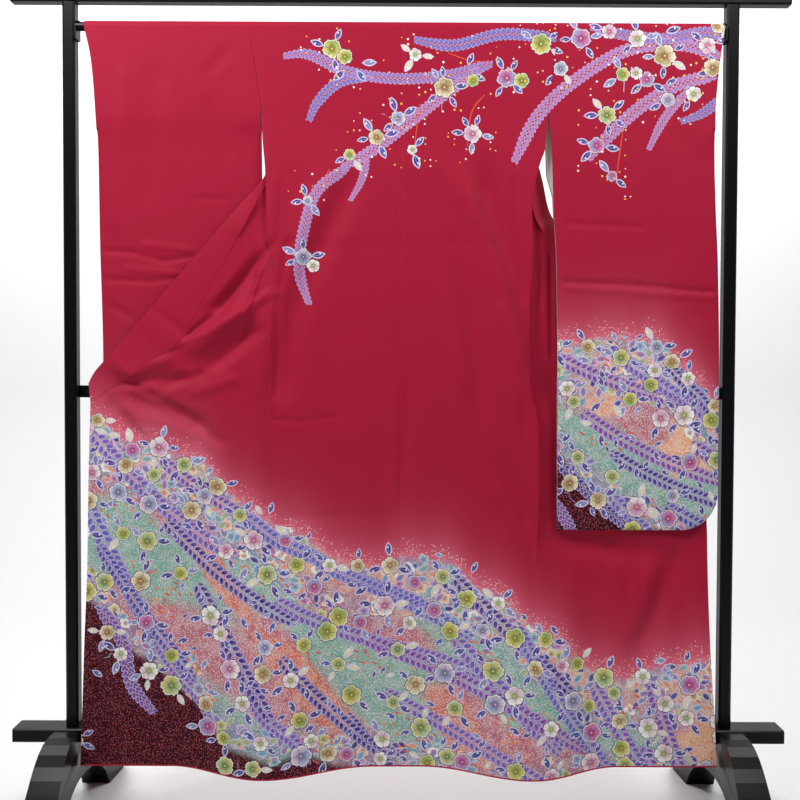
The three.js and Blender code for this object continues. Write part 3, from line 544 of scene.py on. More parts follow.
def collar_grid():
    """The whole band, from one end round the neck to the other."""
    return np.concatenate([collar_half("left"), collar_half("right")[::-1]])


# ---- the sleeves -------------------------------------------------------------------------------
SLEEVE_CREASES = {
    "left": table("from_x from_z to_x to_z depth width", [
        (-655, 1228, -560, 1222, 3.0, 9), (-580, 1224, -500, 1204, 2.4, 10),
        (-520, 1202, -430, 1216, 3.2, 9), (-560, 1240, -440, 1228, -2.4, 12),
        (-655, 1166, -520, 1160, 3.2, 8), (-530, 1162, -440, 1172, 2.4, 9),
        (-600, 1188, -460, 1176, -2.0, 13), (-440, 1340, -360, 1334, 1.6, 9),
        (-640, 1470, -610, 1250, -2.4, 26), (-420, 1560, -360, 1400, 2.0, 30),
        (-520, 1640, -540, 1300, 2.4, 44), (-640, 1120, -560, 1075, 2.2, 16),
        (-340, 1680, -420, 1590, 2.2, 22), (-590, 1640, -585, 1420, -2.0, 30),
    ]),
    "right": table("from_x from_z to_x to_z depth width", [
        (338, 1162, 520, 1156, 3.4, 9), (500, 1157, 676, 1140, 3.4, 9),
        (338, 1150, 676, 1128, -2.2, 10), (345, 1286, 520, 1279, 2.0, 10),
        (420, 1600, 400, 1200, -2.4, 42), (560, 1620, 580, 1180, 2.6, 46),
        (640, 1100, 630, 760, -2.2, 34), (430, 1090, 460, 720, 2.2, 44),
        (350, 1000, 352, 700, -1.6, 16), (600, 1500, 640, 1300, 2.0, 30),
    ]),
}
EDGE_ROUND = 12.0           # the pouch thins out this close to a closed edge
LEAST_HALF = THICKNESS / 2 + 0.05           # half the depth where the layers nearly touch
THINNEST = 0.35             # the least share of the pouch's depth at its edges
SEWN_FADE, SEWN_SHARE = 50.0, 0.25          # how the near layer comes up to the back's seam
CUFF_FADE, CUFF_SHARE = 60.0, 0.2           # where the pouch closes below the wrist
BOTTOM_FADE = 70.0
FAR_REACH = 12.0            # the far layer hangs further in at the armpit and shows its lining
FAR_TOP, FAR_LOW, FAR_FADE = 1527.0, 1335.0, 60.0


def sleeve_grid(side):
    """A sleeve as one sheet: up its near layer, over the rod and down its far layer."""
    rows = SLEEVE[side]
    across = sections(SLEEVE_WIDTH)[None, :]

    def inner_at(z):
        """The edge beside the body: sewn above the armhole's end and free below it."""
        sewn_edge = column(BACK_EDGE, side, z) - sign_of(side) * SEAM_LAP
        return np.where(z >= ARMHOLE_Z, sewn_edge, column(rows, "inner", z))

    outer_low = column(rows, "outer", SLEEVE_BOTTOM)
    width = abs(outer_low - column(rows, "inner", SLEEVE_BOTTOM))
    into_corner = np.clip(CORNER - (1 - across) * width, 0, 0.999 * CORNER)
    bottom = SLEEVE_BOTTOM + CORNER - np.sqrt(CORNER**2 - into_corner**2)

    def layer(shares, sign):
        """The near layer where sign is -1 and the far one where it is 1, from the bottom up."""
        z = mix(bottom, ROD_Z, shares[:, None])
        x = mix(inner_at(z), column(rows, "outer", z), across)
        sewn = ease((z - ARMHOLE_Z + SEWN_FADE) / SEWN_FADE) * ease(1 - across / SEWN_SHARE)
        near = mix(column(rows, "near", z), column(BACK_DEPTH, "y", z), sewn)
        far = column(rows, "far", z)
        closed = ease((ROD_Z - CUFF - z) / CUFF_FADE) * ease((across - 1) / CUFF_SHARE + 1)
        low = ease((bottom - z) / BOTTOM_FADE + 1)
        keep = np.maximum(THINNEST, 1 - 0.5 * closed - 0.35 * low)
        to_outer = np.where(z < ROD_Z - CUFF, (1 - across) * width, EDGE_ROUND)
        nearest = np.minimum(np.minimum(to_outer, z - bottom) / EDGE_ROUND, 1)
        rounded = np.sqrt(1 - (1 - nearest) ** 2)
        half = np.maximum(LEAST_HALF, (far - near) / 2 * keep * rounded)
        y = (near + far) / 2 + sign * half
        slack = ease(nearest) * ease((ROD_Z - 10 - z) / 90)
        if sign > 0 and side == "right":
            beside = ease((FAR_TOP - z) / FAR_FADE) * ease((z - FAR_LOW) / FAR_FADE)
            x = x - FAR_REACH * beside * (1 - across) ** 3
        if sign < 0:
            y = y + slack * (crease_depth(SLEEVE_CREASES[side], x, z) + ripple(x + 400, z))
        else:
            y = y - 0.5 * slack * np.abs(ripple(x - 200, z))
        return np.stack([x, y, z], -1)

    height = ROD_Z - SLEEVE_BOTTOM
    near = layer(sections(height), -1)
    far = layer(sections(height, 9.0)[::-1], 1)
    over = over_rod(near[-1, :, 0], 0, math.pi)[1:-1]
    grid = np.concatenate([near, over, far])
    sheet_x = sign_of(side) * grid[..., 0] + (LEFT_SLEEVE_SHIFT if side == "left" else 0)
    turned = np.arange(len(grid)) > len(near) + len(over) / 2
    return grid, np.where(turned[:, None], 2 * SLEEVE_TURN[side] - sheet_x, sheet_x)


# ---- the dyed picture ----------------------------------------------------------------------------
# Every vertex of the silk carries what the material needs to draw the picture there: the ground
# colour, how thickly small shapes cover it, and local coordinates of the nearest garland and
# blossom. A channel keeps its shapes at least CLEAR apart, so that no grid cell mixes two of them.
CHANNELS = 3
CLEAR = 16.0
FAR_AWAY = 9.0
SLEEVE_TURN = {"left": 1445.0, "right": 682.0}    # the sleeve's outer edge on the picture's sheet
LEFT_SLEEVE_SHIFT = 805.0


def linear(red, green, blue):
    """Linear colour of 8-bit screen values."""
    screen = np.array([red, green, blue]) / 255
    return np.where(screen <= 0.04045, screen / 12.92, ((screen + 0.055) / 1.055) ** 2.4)


CRIMSON = linear(163, 22, 52)
MIST = linear(226, 116, 138)
MAROON = linear(58, 10, 24)
LILAC = linear(140, 116, 158)
AQUA = linear(126, 156, 176)
TEAL = linear(124, 170, 158)
PEACH = linear(228, 166, 128)
ROSE = linear(186, 112, 128)
CORAL = linear(206, 118, 100)

# Upper edge of the flowered band, and of the dark ground in its lower left.
BODY_BAND = table("x z", [
    (-700, 882), (-610, 846), (-520, 806), (-420, 762), (-300, 668), (-205, 600), (-110, 560),
    (-20, 566), (90, 558), (200, 508), (300, 412), (420, 332), (540, 318), (700, 356),
])
BODY_DARK = table("x z", [
    (-700, 512), (-620, 446), (-540, 360), (-462, 286), (-380, 200), (-290, 160), (-160, 142),
    (-20, 112), (700, 60),
])
SLEEVE_BAND = table("x z", [
    (300, 1000), (404, 1040), (480, 1052), (560, 1012), (625, 950), (690, 884), (800, 842),
    (900, 872), (1030, 950), (1100, 880), (1240, 900), (1330, 920), (1445, 900), (1600, 850),
    (1790, 930),
])
SLEEVE_DARK = table("x z", [
    (300, 812), (380, 756), (430, 700), (520, 640), (560, 600), (820, 600), (900, 660),
    (1030, 760), (1100, 800), (1180, 730), (1280, 600), (1560, 600), (1700, 690), (1790, 760),
])
# Patches of one colour inside the band: middle, half lengths, slant in degrees, colour.
BODY_FIELDS = [
    (-560, 590, 150, 66, -36, TEAL), (-300, 478, 130, 58, -38, TEAL), (-20, 335, 140, 76, -36, TEAL),
    (262, 300, 130, 62, -48, TEAL), (560, 176, 130, 34, -8, TEAL), (-90, 520, 150, 56, -18, PEACH),
    (640, 236, 70, 110, 0, PEACH), (430, 296, 110, 36, -24, PEACH), (-70, 446, 150, 46, -24, ROSE),
    (-250, 372, 120, 40, -40, ROSE), (330, 160, 120, 46, -14, ROSE), (520, 244, 110, 30, -16, ROSE),
    (-190, 300, 160, 34, -44, CORAL), (130, 210, 110, 40, -50, CORAL), (-400, 560, 150, 24, -52, CORAL),
    (350, 400, 110, 20, -34, CORAL),
]
SLEEVE_FIELDS = [
    (600, 800, 90, 40, -44, PEACH), (520, 880, 70, 44, -40, ROSE), (640, 690, 70, 44, -50, TEAL),
    (420, 930, 60, 40, -30, PEACH), (760, 720, 110, 50, 20, TEAL), (900, 780, 90, 36, 30, PEACH),
    (1200, 880, 90, 40, -30, TEAL), (1380, 800, 80, 40, -44, PEACH), (1560, 740, 100, 44, 10, ROSE),
    (1700, 820, 80, 40, 24, TEAL),
]
LAYOUT = {
    "body": (BODY_BAND, BODY_DARK, BODY_FIELDS),
    "sleeve": (SLEEVE_BAND, SLEEVE_DARK, SLEEVE_FIELDS),
}
# Garlands across the shoulders: half width, tone (0 violet to 1 blue) and points.
SHOULDER_GARLANDS = [
    (13, 0.35, [(170, 1612), (96, 1560), (20, 1500), (-60, 1438), (-128, 1398)]),
    (12, 0.45, [(-110, 1404), (-176, 1350), (-206, 1262), (-214, 1180), (-192, 1108)]),
    (14, 0.20, [(676, 1640), (590, 1664), (480, 1652), (372, 1590), (290, 1512), (238, 1410)]),
    (12, 0.55, [(196, 1622), (92, 1596), (-20, 1590), (-120, 1606), (-196, 1640), (-250, 1636)]),
    (12, 0.85, [(-60, 1596), (-130, 1582), (-176, 1540), (-196, 1498)]),
    (14, 0.30, [(668, 1600), (588, 1580), (505, 1530), (440, 1470), (396, 1420)]),
    (13, 0.75, [(330, 1676), (214, 1684), (112, 1660), (24, 1672)]),
    (9, 0.15, [(-70, 1420), (-84, 1372), (-108, 1330)]),
    (10, 0.25, [(610, 1570), (560, 1510), (524, 1440)]),
    (13, 0.40, [(1500, 1650), (1580, 1610), (1650, 1540), (1690, 1440)]),
    (12, 0.60, [(700, 1676), (640, 1690), (560, 1676), (470, 1684), (400, 1700)]),
    (11, 0.80, [(690, 1560), (640, 1520), (590, 1500)]),
    (12, 0.70, [(980, 1640), (900, 1600), (840, 1530), (800, 1440)]),
]
# Garlands that hang into the dark ground of the body's picture.
DARK_GARLANDS = [
    (15, 0.70, [(-640, 470), (-590, 390), (-570, 300), (-520, 236)]),
    (14, 0.30, [(-520, 400), (-470, 320), (-420, 270), (-396, 214)]),
    (15, 0.85, [(-330, 350), (-290, 250), (-220, 190), (-190, 136)]),
    (13, 0.20, [(-110, 240), (-60, 180), (10, 150)]),
]
# Thin red stems across the shoulders.
SHOULDER_STEMS = [
    [(40, 1540), (34, 1490), (30, 1448)], [(180, 1560), (150, 1520), (140, 1444)],
    [(470, 1480), (462, 1420), (456, 1366)], [(96, 1646), (140, 1630), (190, 1624)],
    [(-150, 1400), (-160, 1372), (-158, 1350)],
]
# Blossoms of the shoulders: place, radius, tone and how many leaves stand round them.
SHOULDER_BLOOMS = [
    (-146, 1652, 21, 0.12, 3), (-104, 1622, 21, 0.45, 4), (92, 1572, 22, 0.55, 5),
    (134, 1604, 17, 0.92, 4), (224, 1592, 21, 0.66, 4), (152, 1474, 20, 0.78, 5),
    (-52, 1466, 17, 0.50, 4), (-6, 1506, 16, 0.95, 4), (-108, 1428, 13, 0.20, 4),
    (-206, 1212, 18, 0.92, 5), (-196, 1330, 11, 0.90, 3), (296, 1664, 23, 0.10, 4),
    (380, 1676, 22, 0.58, 4), (338, 1612, 16, 0.90, 3), (558, 1640, 24, 0.50, 5),
    (604, 1600, 22, 0.16, 4), (648, 1662, 18, 0.80, 3), (500, 1676, 19, 0.30, 4),
    (436, 1514, 20, 0.20, 5), (414, 1450, 18, 0.60, 4), (520, 1590, 17, 0.70, 3),
    (448, 1386, 12, 0.70, 2), (30, 1640, 14, 0.30, 3), (24, 1440, 11, 0.40, 3),
    (1540, 1640, 22, 0.14, 4), (1592, 1584, 21, 0.62, 4), (1690, 1426, 18, 0.90, 3),
    (334, 1690, 20, 0.40, 4), (540, 1684, 21, 0.22, 4), (600, 1650, 17, 0.62, 4),
    (660, 1616, 20, 0.44, 4), (620, 1560, 17, 0.30, 4), (566, 1548, 16, 0.90, 4),
    (470, 1600, 15, 0.12, 4), (694, 1690, 18, 0.55, 3), (440, 1690, 16, 0.80, 3),
    (940, 1630, 22, 0.50, 4), (900, 1570, 20, 0.15, 4), (808, 1446, 16, 0.90, 3),
]
STEM_TONE = 1.5
TONE_BASE = 1.0             # added to stored tones, so that every shape's tone differs from none
GARLAND_REACH = 24.0        # local coordinates are stored this far beyond a shape's edge
BLOOM_REACH = 12.0
TAPER_START, TAPER_END = 30.0, 70.0         # a garland is narrower this near to its ends
FLOW_STEP = 30.0            # spacing of the points of a streaming garland
BLOOM_TRIES = 8500
LEAVES_ABOVE = 1080.0       # beads lie round the leaves above this height
BEADS_ABOVE = 1330.0        # and only above this one themselves


def band(rows, x):
    """Height of an edge of the picture, with a slightly ragged outline."""
    order = np.argsort(rows["x"])
    height = np.interp(x, rows["x"][order], rows["z"][order])
    return height + 11 * np.sin(x / 41) + 6 * np.sin(x / 17 + 1)


def field_shares(fields, x, z):
    """How fully each open patch of colour covers each point."""
    shares = []
    for mid_x, mid_z, length, width, slant, _ in fields:
        turn = math.radians(slant)
        along = ((x - mid_x) * math.cos(turn) + (z - mid_z) * math.sin(turn)) / length
        across = ((z - mid_z) * math.cos(turn) - (x - mid_x) * math.sin(turn)) / width
        shares.append(ease(2.4 * (1.25 - np.hypot(along, across + 0.25 * np.sin(3 * along)))))
    return np.array(shares)


def ground_of(sheet, x, z):
    """Ground colour and speckles, how thickly leaves and red strokes lie on it, and where the dark
    ground lies.
    """
    rows, dark_rows, fields = LAYOUT[sheet]
    above = z - band(rows, x)
    over_dark = z - band(dark_rows, x)
    dark = ease(0.5 - over_dark / 22)[:, None]
    inside = ease(0.5 - above / 26)[:, None]
    near_edge = np.exp(-np.maximum(above, 0) / 42)[:, None]
    waves = np.sin(x / 83 + z / 47) * np.sin(x / 61 - z / 90)
    streams = np.sin((x * 0.62 + z) / 47 + 1.4 * np.sin(x / 190))
    colour = mix(CRIMSON, MIST, 0.95 * near_edge)
    crowded = mix(LILAC, AQUA, 0.5 + 0.5 * waves[:, None])
    crowded = mix(crowded, PEACH, 0.75 * ease(1 - np.abs(above + 40) / 44)[:, None])
    inner = mix(TEAL, ROSE, ease(0.5 + 0.9 * streams)[:, None])
    shares = field_shares(fields, x, z)
    for share, field in zip(shares, fields):
        inner = mix(inner, field[-1], share[:, None])
    openness = shares.max(0)[:, None]
    crowd = np.maximum(ease((above + 150) / 60), 0.8 * ease(1 - np.abs(over_dark - 30) / 60))
    crowd = crowd[:, None] * (1 - 0.55 * openness)
    colour = mix(colour, mix(inner, crowded, crowd), inside)
    colour = mix(colour, MAROON, dark * inside)
    speckles = np.maximum(0.56 * ease(1 - above[:, None] / 52), inside * (1 - 0.35 * crowd))
    leaves = inside * crowd * (1 - 0.9 * dark)
    strokes = inside * (1 - dark) * ease(2.2 * (0.5 + 0.5 * waves[:, None]) - 0.9)
    return np.hstack([colour, speckles]), leaves[:, 0], strokes[:, 0], dark[:, 0]


def flow_garlands(rng, starts, rows, lowest):
    """Garlands that stream down the flowered band from upper left to lower right."""
    found = []
    for x, length, drop, half_width, tone in starts:
        z = float(band(rows, np.array(x))) - drop
        points = [(x, z)]
        bend = rng.uniform(-0.15, 0.15)
        while len(points) * FLOW_STEP < length and z > lowest:
            heading = -0.84 + bend + 0.34 * math.sin(x / 150 + z / 210) + 0.012 * len(points)
            x += FLOW_STEP * math.cos(heading)
            z = min(z + FLOW_STEP * math.sin(heading), float(band(rows, np.array(x))) - 24)
            points.append((x, z))
        if len(points) > 3:
            found.append((half_width, tone, points))
    return found


def spread_channels(shapes):
    """Shares shapes out over channels so that those in one channel stay CLEAR apart."""
    channels = [[] for _ in range(CHANNELS)]
    for shape in shapes:
        for channel in channels:
            gaps = [
                np.linalg.norm(shape["line"][:, None] - other["line"][None], axis=2).min()
                - shape["radius"] - other["radius"]
                for other in channel
            ]
            if all(gap > CLEAR for gap in gaps):
                channel.append(shape)
                break
    return channels


def garland_channels(sheet, rng):
    """All garlands and stems of a sheet, as shapes shared out over channels."""
    shapes = SHOULDER_GARLANDS + [(10, STEM_TONE, points) for points in SHOULDER_STEMS]
    if sheet == "body":
        shapes += DARK_GARLANDS
        starts = [
            (x + rng.uniform(-16, 16), rng.uniform(340, 560), drop,
             rng.uniform(15, 20), rng.uniform(0, 1))
            for drop in (22, 150, 262)
            for x in np.arange(-690 + 41 * (drop % 3), 660, 150 if drop < 100 else 205)
        ]
        shapes += flow_garlands(rng, starts, BODY_BAND, HEM_Z - 30)
    else:
        starts = [
            (x, rng.uniform(300, 460), drop, rng.uniform(13, 18), rng.uniform(0, 1))
            for drop in (24, 140, 240, 330)
            for x in np.arange(330 + 27 * (drop % 3), 1780, 118)
        ]
        shapes += flow_garlands(rng, starts, SLEEVE_BAND, SLEEVE_BOTTOM - 30)
    ready = [
        {"radius": w, "tone": tone, "line": curve_through(points)} for w, tone, points in shapes
    ]
    return spread_channels(ready)


def leaves_round(rng, x, z, radius, count):
    """Leaves that stand out from behind a blossom."""
    first = rng.uniform(0, 2 * np.pi)
    for number in range(count):
        turn = first + number * 2 * np.pi / count + rng.uniform(-0.4, 0.4)
        size = rng.uniform(12, 17)
        reach = radius + size * rng.uniform(0.75, 1.1)
        yield x + reach * math.cos(turn), z + reach * math.sin(turn), size, leaf_tone(rng), turn


def leaf_tone(rng):
    """Tones above 1 stand for leaves, and those below for blossoms."""
    return 1 + rng.uniform(0.02, 0.98)


def scatter_blooms(sheet, rng):
    """Blossoms and leaves: those of the shoulders and many more over the flowered band."""
    placed = []
    for x, z, radius, tone, count in SHOULDER_BLOOMS:
        placed.append((x, z, radius, tone, rng.uniform(0, 2 * np.pi)))
        placed.extend(leaves_round(rng, x, z, radius, count))
        if radius > 16 and rng.uniform() < 0.7:
            turn = rng.uniform(0, 2 * np.pi)
            beside = x + 1.5 * radius * math.cos(turn), z + 1.5 * radius * math.sin(turn)
            placed.append((*beside, 0.8 * radius, rng.uniform(0, 0.98), turn))
    rows, dark_rows, fields = LAYOUT[sheet]
    span, lowest = ((-700, 700), HEM_Z) if sheet == "body" else ((320, 1790), SLEEVE_BOTTOM)
    for turn in range(BLOOM_TRIES):
        blossom = turn < BLOOM_TRIES * 0.4
        x = rng.uniform(*span)
        top = float(band(rows, np.array(x))) + (2 if blossom else 16)
        z = top - (top - lowest + 10) * rng.uniform() ** 1.2
        over_dark = z - float(band(dark_rows, np.array(x)))
        open_here = field_shares(fields, np.array([x]), np.array([z])).max()
        crowd = max(ease((z - top + 160) / 70), 0.75 * ease(1 - abs(over_dark - 10) / 70))
        wanted = mix(0.08 if blossom else 0.2, 1, crowd * (1 - 0.5 * open_here))
        if rng.uniform() > wanted * (1 if over_dark > -50 else 0.02):
            continue
        radius = rng.uniform(15, 23) if blossom else rng.uniform(9, 15)
        tone = rng.uniform(0, 0.98) if blossom else leaf_tone(rng)
        others = np.array(placed)
        gap = np.hypot(others[:, 0] - x, others[:, 1] - z) - radius - others[:, 2]
        if gap.min() > (-5 if blossom else -4):
            placed.append((x, z, radius, tone, rng.uniform(0, 2 * np.pi)))
            if blossom:
                placed.extend(leaves_round(rng, x, z, radius, rng.integers(2, 5)))
    return placed


def bloom_channels(sheet, rng):
    """All blossoms and leaves of a sheet, as shapes shared out over channels."""
    shapes = [
        {"radius": radius, "tone": tone, "line": np.array([[x, z]]), "turn": turn}
        for x, z, radius, tone, turn in scatter_blooms(sheet, rng)
    ]
    return spread_channels(shapes)


def garland_values(shapes, x, z):
    """Along, across, tone and squared tone of the nearest garland, for each point."""
    values = np.tile([0.0, FAR_AWAY, 0.0, 0.0], (len(x), 1))
    best = np.full(len(x), 1e9)
    for shape in shapes:
        line, radius = shape["line"], shape["radius"]
        reach = radius + GARLAND_REACH
        low, high = line.min(0) - reach, line.max(0) + reach
        near = np.flatnonzero((x > low[0]) & (x < high[0]) & (z > low[1]) & (z < high[1]))
        if not len(near):
            continue
        distance, turned, along, length = follow(line, np.stack([x[near], z[near]], -1))
        taper = 0.6 + 0.4 * ease(along / TAPER_START) * ease((length - along) / TAPER_END)
        across = np.clip(turned * distance / (radius * taper), -FAR_AWAY, FAR_AWAY)
        gap = distance - radius
        within = (along > 0.01) & (along < length - 0.01)
        closer = (gap < best[near]) & (gap < GARLAND_REACH) & within
        chosen = near[closer]
        best[chosen] = gap[closer]
        tone = np.full(len(chosen), shape["tone"] + TONE_BASE)
        pitch = 0.62 * radius + 2.4
        values[chosen] = np.stack([along[closer] / pitch, across[closer], tone, tone**2], -1)
    return values


def bloom_values(shapes, x, z):
    """Place in radii, tone and squared tone of the nearest blossom or leaf, for each point."""
    values = np.tile([FAR_AWAY, FAR_AWAY, 0.0, 0.0], (len(x), 1))
    best = np.full(len(x), 1e9)
    for shape in shapes:
        (mid_x, mid_z), radius, turn = shape["line"][0], shape["radius"], shape["turn"]
        reach = radius + BLOOM_REACH
        near = np.flatnonzero((np.abs(x - mid_x) < reach) & (np.abs(z - mid_z) < reach))
        if not len(near):
            continue
        dx, dz = (x[near] - mid_x) / radius, (z[near] - mid_z) / radius
        gap = np.hypot(dx, dz) * radius - radius
        closer = gap < best[near]
        chosen = near[closer]
        best[chosen] = gap[closer]
        u = (dx * math.cos(turn) + dz * math.sin(turn))[closer]
        v = (dz * math.cos(turn) - dx * math.sin(turn))[closer]
        tone = np.full(len(chosen), shape["tone"] + TONE_BASE)
        values[chosen] = np.stack([u, v, tone, tone**2], -1)
    return values


PICTURES = {}
for sheet_name, seed in (("body", 11), ("sleeve", 23)):
    sheet_rng = np.random.default_rng(seed)
    PICTURES[sheet_name] = {
        "garlands": garland_channels(sheet_name, sheet_rng),
        "blooms": bloom_channels(sheet_name, sheet_rng),
    }


def beads_of(channels, x, z):
    """Density of loose beads, which lie round the leaves of the shoulders."""
    density = np.zeros(len(x))
    for shape in (s for channel in channels for s in channel):
        if shape["line"][:, 1].min() > LEAVES_ABOVE and 1 < shape["tone"] < 2:
            mid_x, mid_z = shape["line"][0]
            density = np.maximum(density, ease(1.6 - np.hypot(x - mid_x, z - mid_z) / 34))
    return density * (z > BEADS_ABOVE)


def paint(obj, sheet, x, z):
    """Stores the picture's values on both layers of a silk object."""
    picture = PICTURES[sheet]
    ground, leaves, strokes, dark = ground_of(sheet, x, z)
    beads = beads_of(picture["blooms"], x, z)
    layers = {"ground": ground, "cover": np.stack([beads, leaves, strokes, dark], -1)}
    for kind, channels, values in (
        ("garland", picture["garlands"], garland_values),
        ("bloom", picture["blooms"], bloom_values),
    ):
        for number, shapes in enumerate(channels):
            layers[f"{kind}_{number}"] = values(shapes, x, z)
    for name, values in layers.items():
        both = np.tile(np.asarray(values, np.float32), (2, 1))
        attribute = obj.data.attributes.new(name, "FLOAT_COLOR", "POINT")
        attribute.data.foreach_set("color", both.ravel())


# ---- materials -----------------------------------------------------------------------------------
class Term:
    """A node's output that can be used in plain sums."""

    def __init__(self, graph, socket):
        self.graph = graph
        self.socket = socket

    def __add__(self, other):
        return self.graph.math("ADD", self, other)

    def __sub__(self, other):
        return self.graph.math("SUBTRACT", self, other)

    def __rsub__(self, other):
        return self.graph.math("SUBTRACT", other, self)

    def __mul__(self, other):
        return self.graph.math("MULTIPLY", self, other)

    def __lt__(self, other):
        return self.graph.math("LESS_THAN", self, other)

    def __gt__(self, other):
        return self.graph.math("GREATER_THAN", self, other)

    def __abs__(self):
        return self.graph.math("ABSOLUTE", self)

    __radd__ = __add__
    __rmul__ = __mul__


class Graph:
    """Adds nodes to a material."""

    def __init__(self, name):
        self.material = bpy.data.materials.new(name)
        self.material.use_nodes = True
        self.tree = self.material.node_tree
        self.shader = self.tree.nodes["Principled BSDF"]

    def node(self, kind, inputs=(), **settings):
        """A new node with some settings, and values or links for some of its inputs."""
        made = self.tree.nodes.new(kind)
        for key, value in settings.items():
            setattr(made, key, value)
        for place, value in dict(inputs).items():
            self.feed(made.inputs[place], value)
        return made

    def feed(self, socket, value):
        """Links a term to a socket, or sets a plain value there."""
        if isinstance(value, Term):
            self.tree.links.new(value.socket, socket)
        elif hasattr(socket.default_value, "__len__") and len(socket.default_value) == 4:
            socket.default_value = (*value, 1.0)
        else:
            socket.default_value = value

    def math(self, operation, a, b=0.0):
        """The result of one arithmetic step."""
        made = self.node("ShaderNodeMath", {0: a, 1: b}, operation=operation)
        return Term(self, made.outputs[0])

    def blend(self, share, a, b):
        """Colour a where share is 0 and b where it is 1."""
        made = self.node("ShaderNodeMix", {0: share}, data_type="RGBA")
        self.feed(made.inputs[6], a)
        self.feed(made.inputs[7], b)
        return Term(self, made.outputs[2])

    def step(self, value, low, high):
        """0 below low, 1 above high and soft between them."""
        settings = {"interpolation_type": "SMOOTHSTEP"}
        made = self.node("ShaderNodeMapRange", {0: value, 1: low, 2: high}, **settings)
        return Term(self, made.outputs[0])

    def values(self, name):
        """The four numbers of a colour attribute."""
        read = self.node("ShaderNodeAttribute", attribute_name=name)
        parts = self.node("ShaderNodeSeparateColor", {0: Term(self, read.outputs["Color"])})
        return [Term(self, s) for s in (*parts.outputs, read.outputs["Alpha"])]

    def shape(self, name):
        """Two coordinates and tone of the nearest shape, and 1 where no other shape mixes in."""
        first, second, tone, squared = self.values(name)
        return first, second, tone - TONE_BASE, abs(squared - tone * tone) < 0.002

    def parts(self, colour):
        """Red, green and blue of a colour."""
        made = self.node("ShaderNodeSeparateColor", {0: colour})
        return [Term(self, socket) for socket in made.outputs]

    def cells(self, place, size, randomness=1.0):
        """Distance, random colour and centre of the nearest of many scattered points."""
        inputs = {"Vector": place, "Scale": 1 / size, "Randomness": randomness}
        made = self.node("ShaderNodeTexVoronoi", inputs, voronoi_dimensions="2D")
        names = ("Distance", "Color", "Position")
        return [Term(self, made.outputs[name]) for name in names]

    def offsets(self, place, centre):
        """The two coordinates of place as seen from centre."""
        made = self.node("ShaderNodeVectorMath", {0: place, 1: centre}, operation="SUBTRACT")
        parts = self.node("ShaderNodeSeparateXYZ", {0: Term(self, made.outputs[0])})
        return [Term(self, socket) for socket in parts.outputs[:2]]

    def surface(self, colour, relief, strength, depth, roughness, specular):
        """Gives the shader its colour, a fine relief and its gloss."""
        inputs = {"Height": relief, "Strength": strength, "Distance": depth}
        soft = self.node("ShaderNodeBump", inputs)
        self.feed(self.shader.inputs["Base Color"], colour)
        self.feed(self.shader.inputs["Normal"], Term(self, soft.outputs[0]))
        self.shader.inputs["Roughness"].default_value = roughness
        self.shader.inputs["Specular IOR Level"].default_value = specular

    def plan(self):
        """Each vertex's place on the flat plan of the cloth, in metres."""
        read = self.node("ShaderNodeAttribute", attribute_name="plan")
        return Term(self, read.outputs["Vector"])

    def noise(self, place, scale, detail=2.0):
        """Soft random values from 0 to 1."""
        inputs = {"Vector": place, "Scale": scale, "Detail": detail}
        return Term(self, self.node("ShaderNodeTexNoise", inputs).outputs[0])

    def ramp(self, value, *colours):
        """Steps through screen colours as value goes from 0 to 1."""
        made = self.node("ShaderNodeValToRGB", {0: value})
        points = made.color_ramp
        points.interpolation = "CONSTANT"
        while len(points.elements) < len(colours):
            points.elements.new(0.5)
        for number, (element, colour) in enumerate(zip(points.elements, colours)):
            element.position = number / len(colours)
            element.color = (*linear(*colour), 1)
        return Term(self, made.outputs[0])


def draw_small_leaf(graph, colour, place, size, density, palette, rim, shape, slant=None):
    """Scattered pointed leaves with a pale rim."""
    _, random, centre = graph.cells(place, size, 0.8)
    r, g, b = graph.parts(random)
    x, y = graph.offsets(place, centre)
    turn = r * (2 * math.pi) if slant is None else r * 0.7 + slant
    cos, sin = graph.math("COSINE", turn), graph.math("SINE", turn)
    u = (x * cos + y * sin) * (1 / (shape[0] * size))
    v = abs(y * cos - x * sin) * (1 / (shape[1] * size))
    body = v + u * u
    there = (body < 1.0) * (g < density)
    edge = (body > rim[0]) * there
    tint = graph.blend(body * 0.35, graph.ramp(b, *palette), rim[1])
    tint = graph.blend(edge, tint, rim[1])
    return graph.blend(there, colour, tint)


def draw_small_blooms(graph, colour, place, size, density):
    """Scattered pastel blossoms that fill the crowded parts."""
    _, random, centre = graph.cells(place, size, 0.85)
    r, g, b = graph.parts(random)
    x, y = graph.offsets(place, centre)
    reach = graph.math("SQRT", x * x + y * y) * (1 / (0.46 * size))
    lobe = abs(graph.math("COSINE", graph.math("ARCTAN2", y, x) * 2.5 + r * 9.0))
    edge = lobe * 0.3 + 0.66
    there = (reach < edge) * (g < density)
    petal = graph.ramp(
        b, (238, 232, 222), (206, 150, 190), (190, 198, 120), (236, 190, 150), (150, 190, 206),
        (222, 206, 160), (176, 160, 206),
    )
    tint = graph.blend(graph.step(reach, 0.55, 0.1) * 0.7, petal, linear(132, 84, 120))
    tint = graph.blend((reach + 0.14 > edge) * 0.6, tint, linear(250, 244, 238))
    return graph.blend(there, colour, tint)


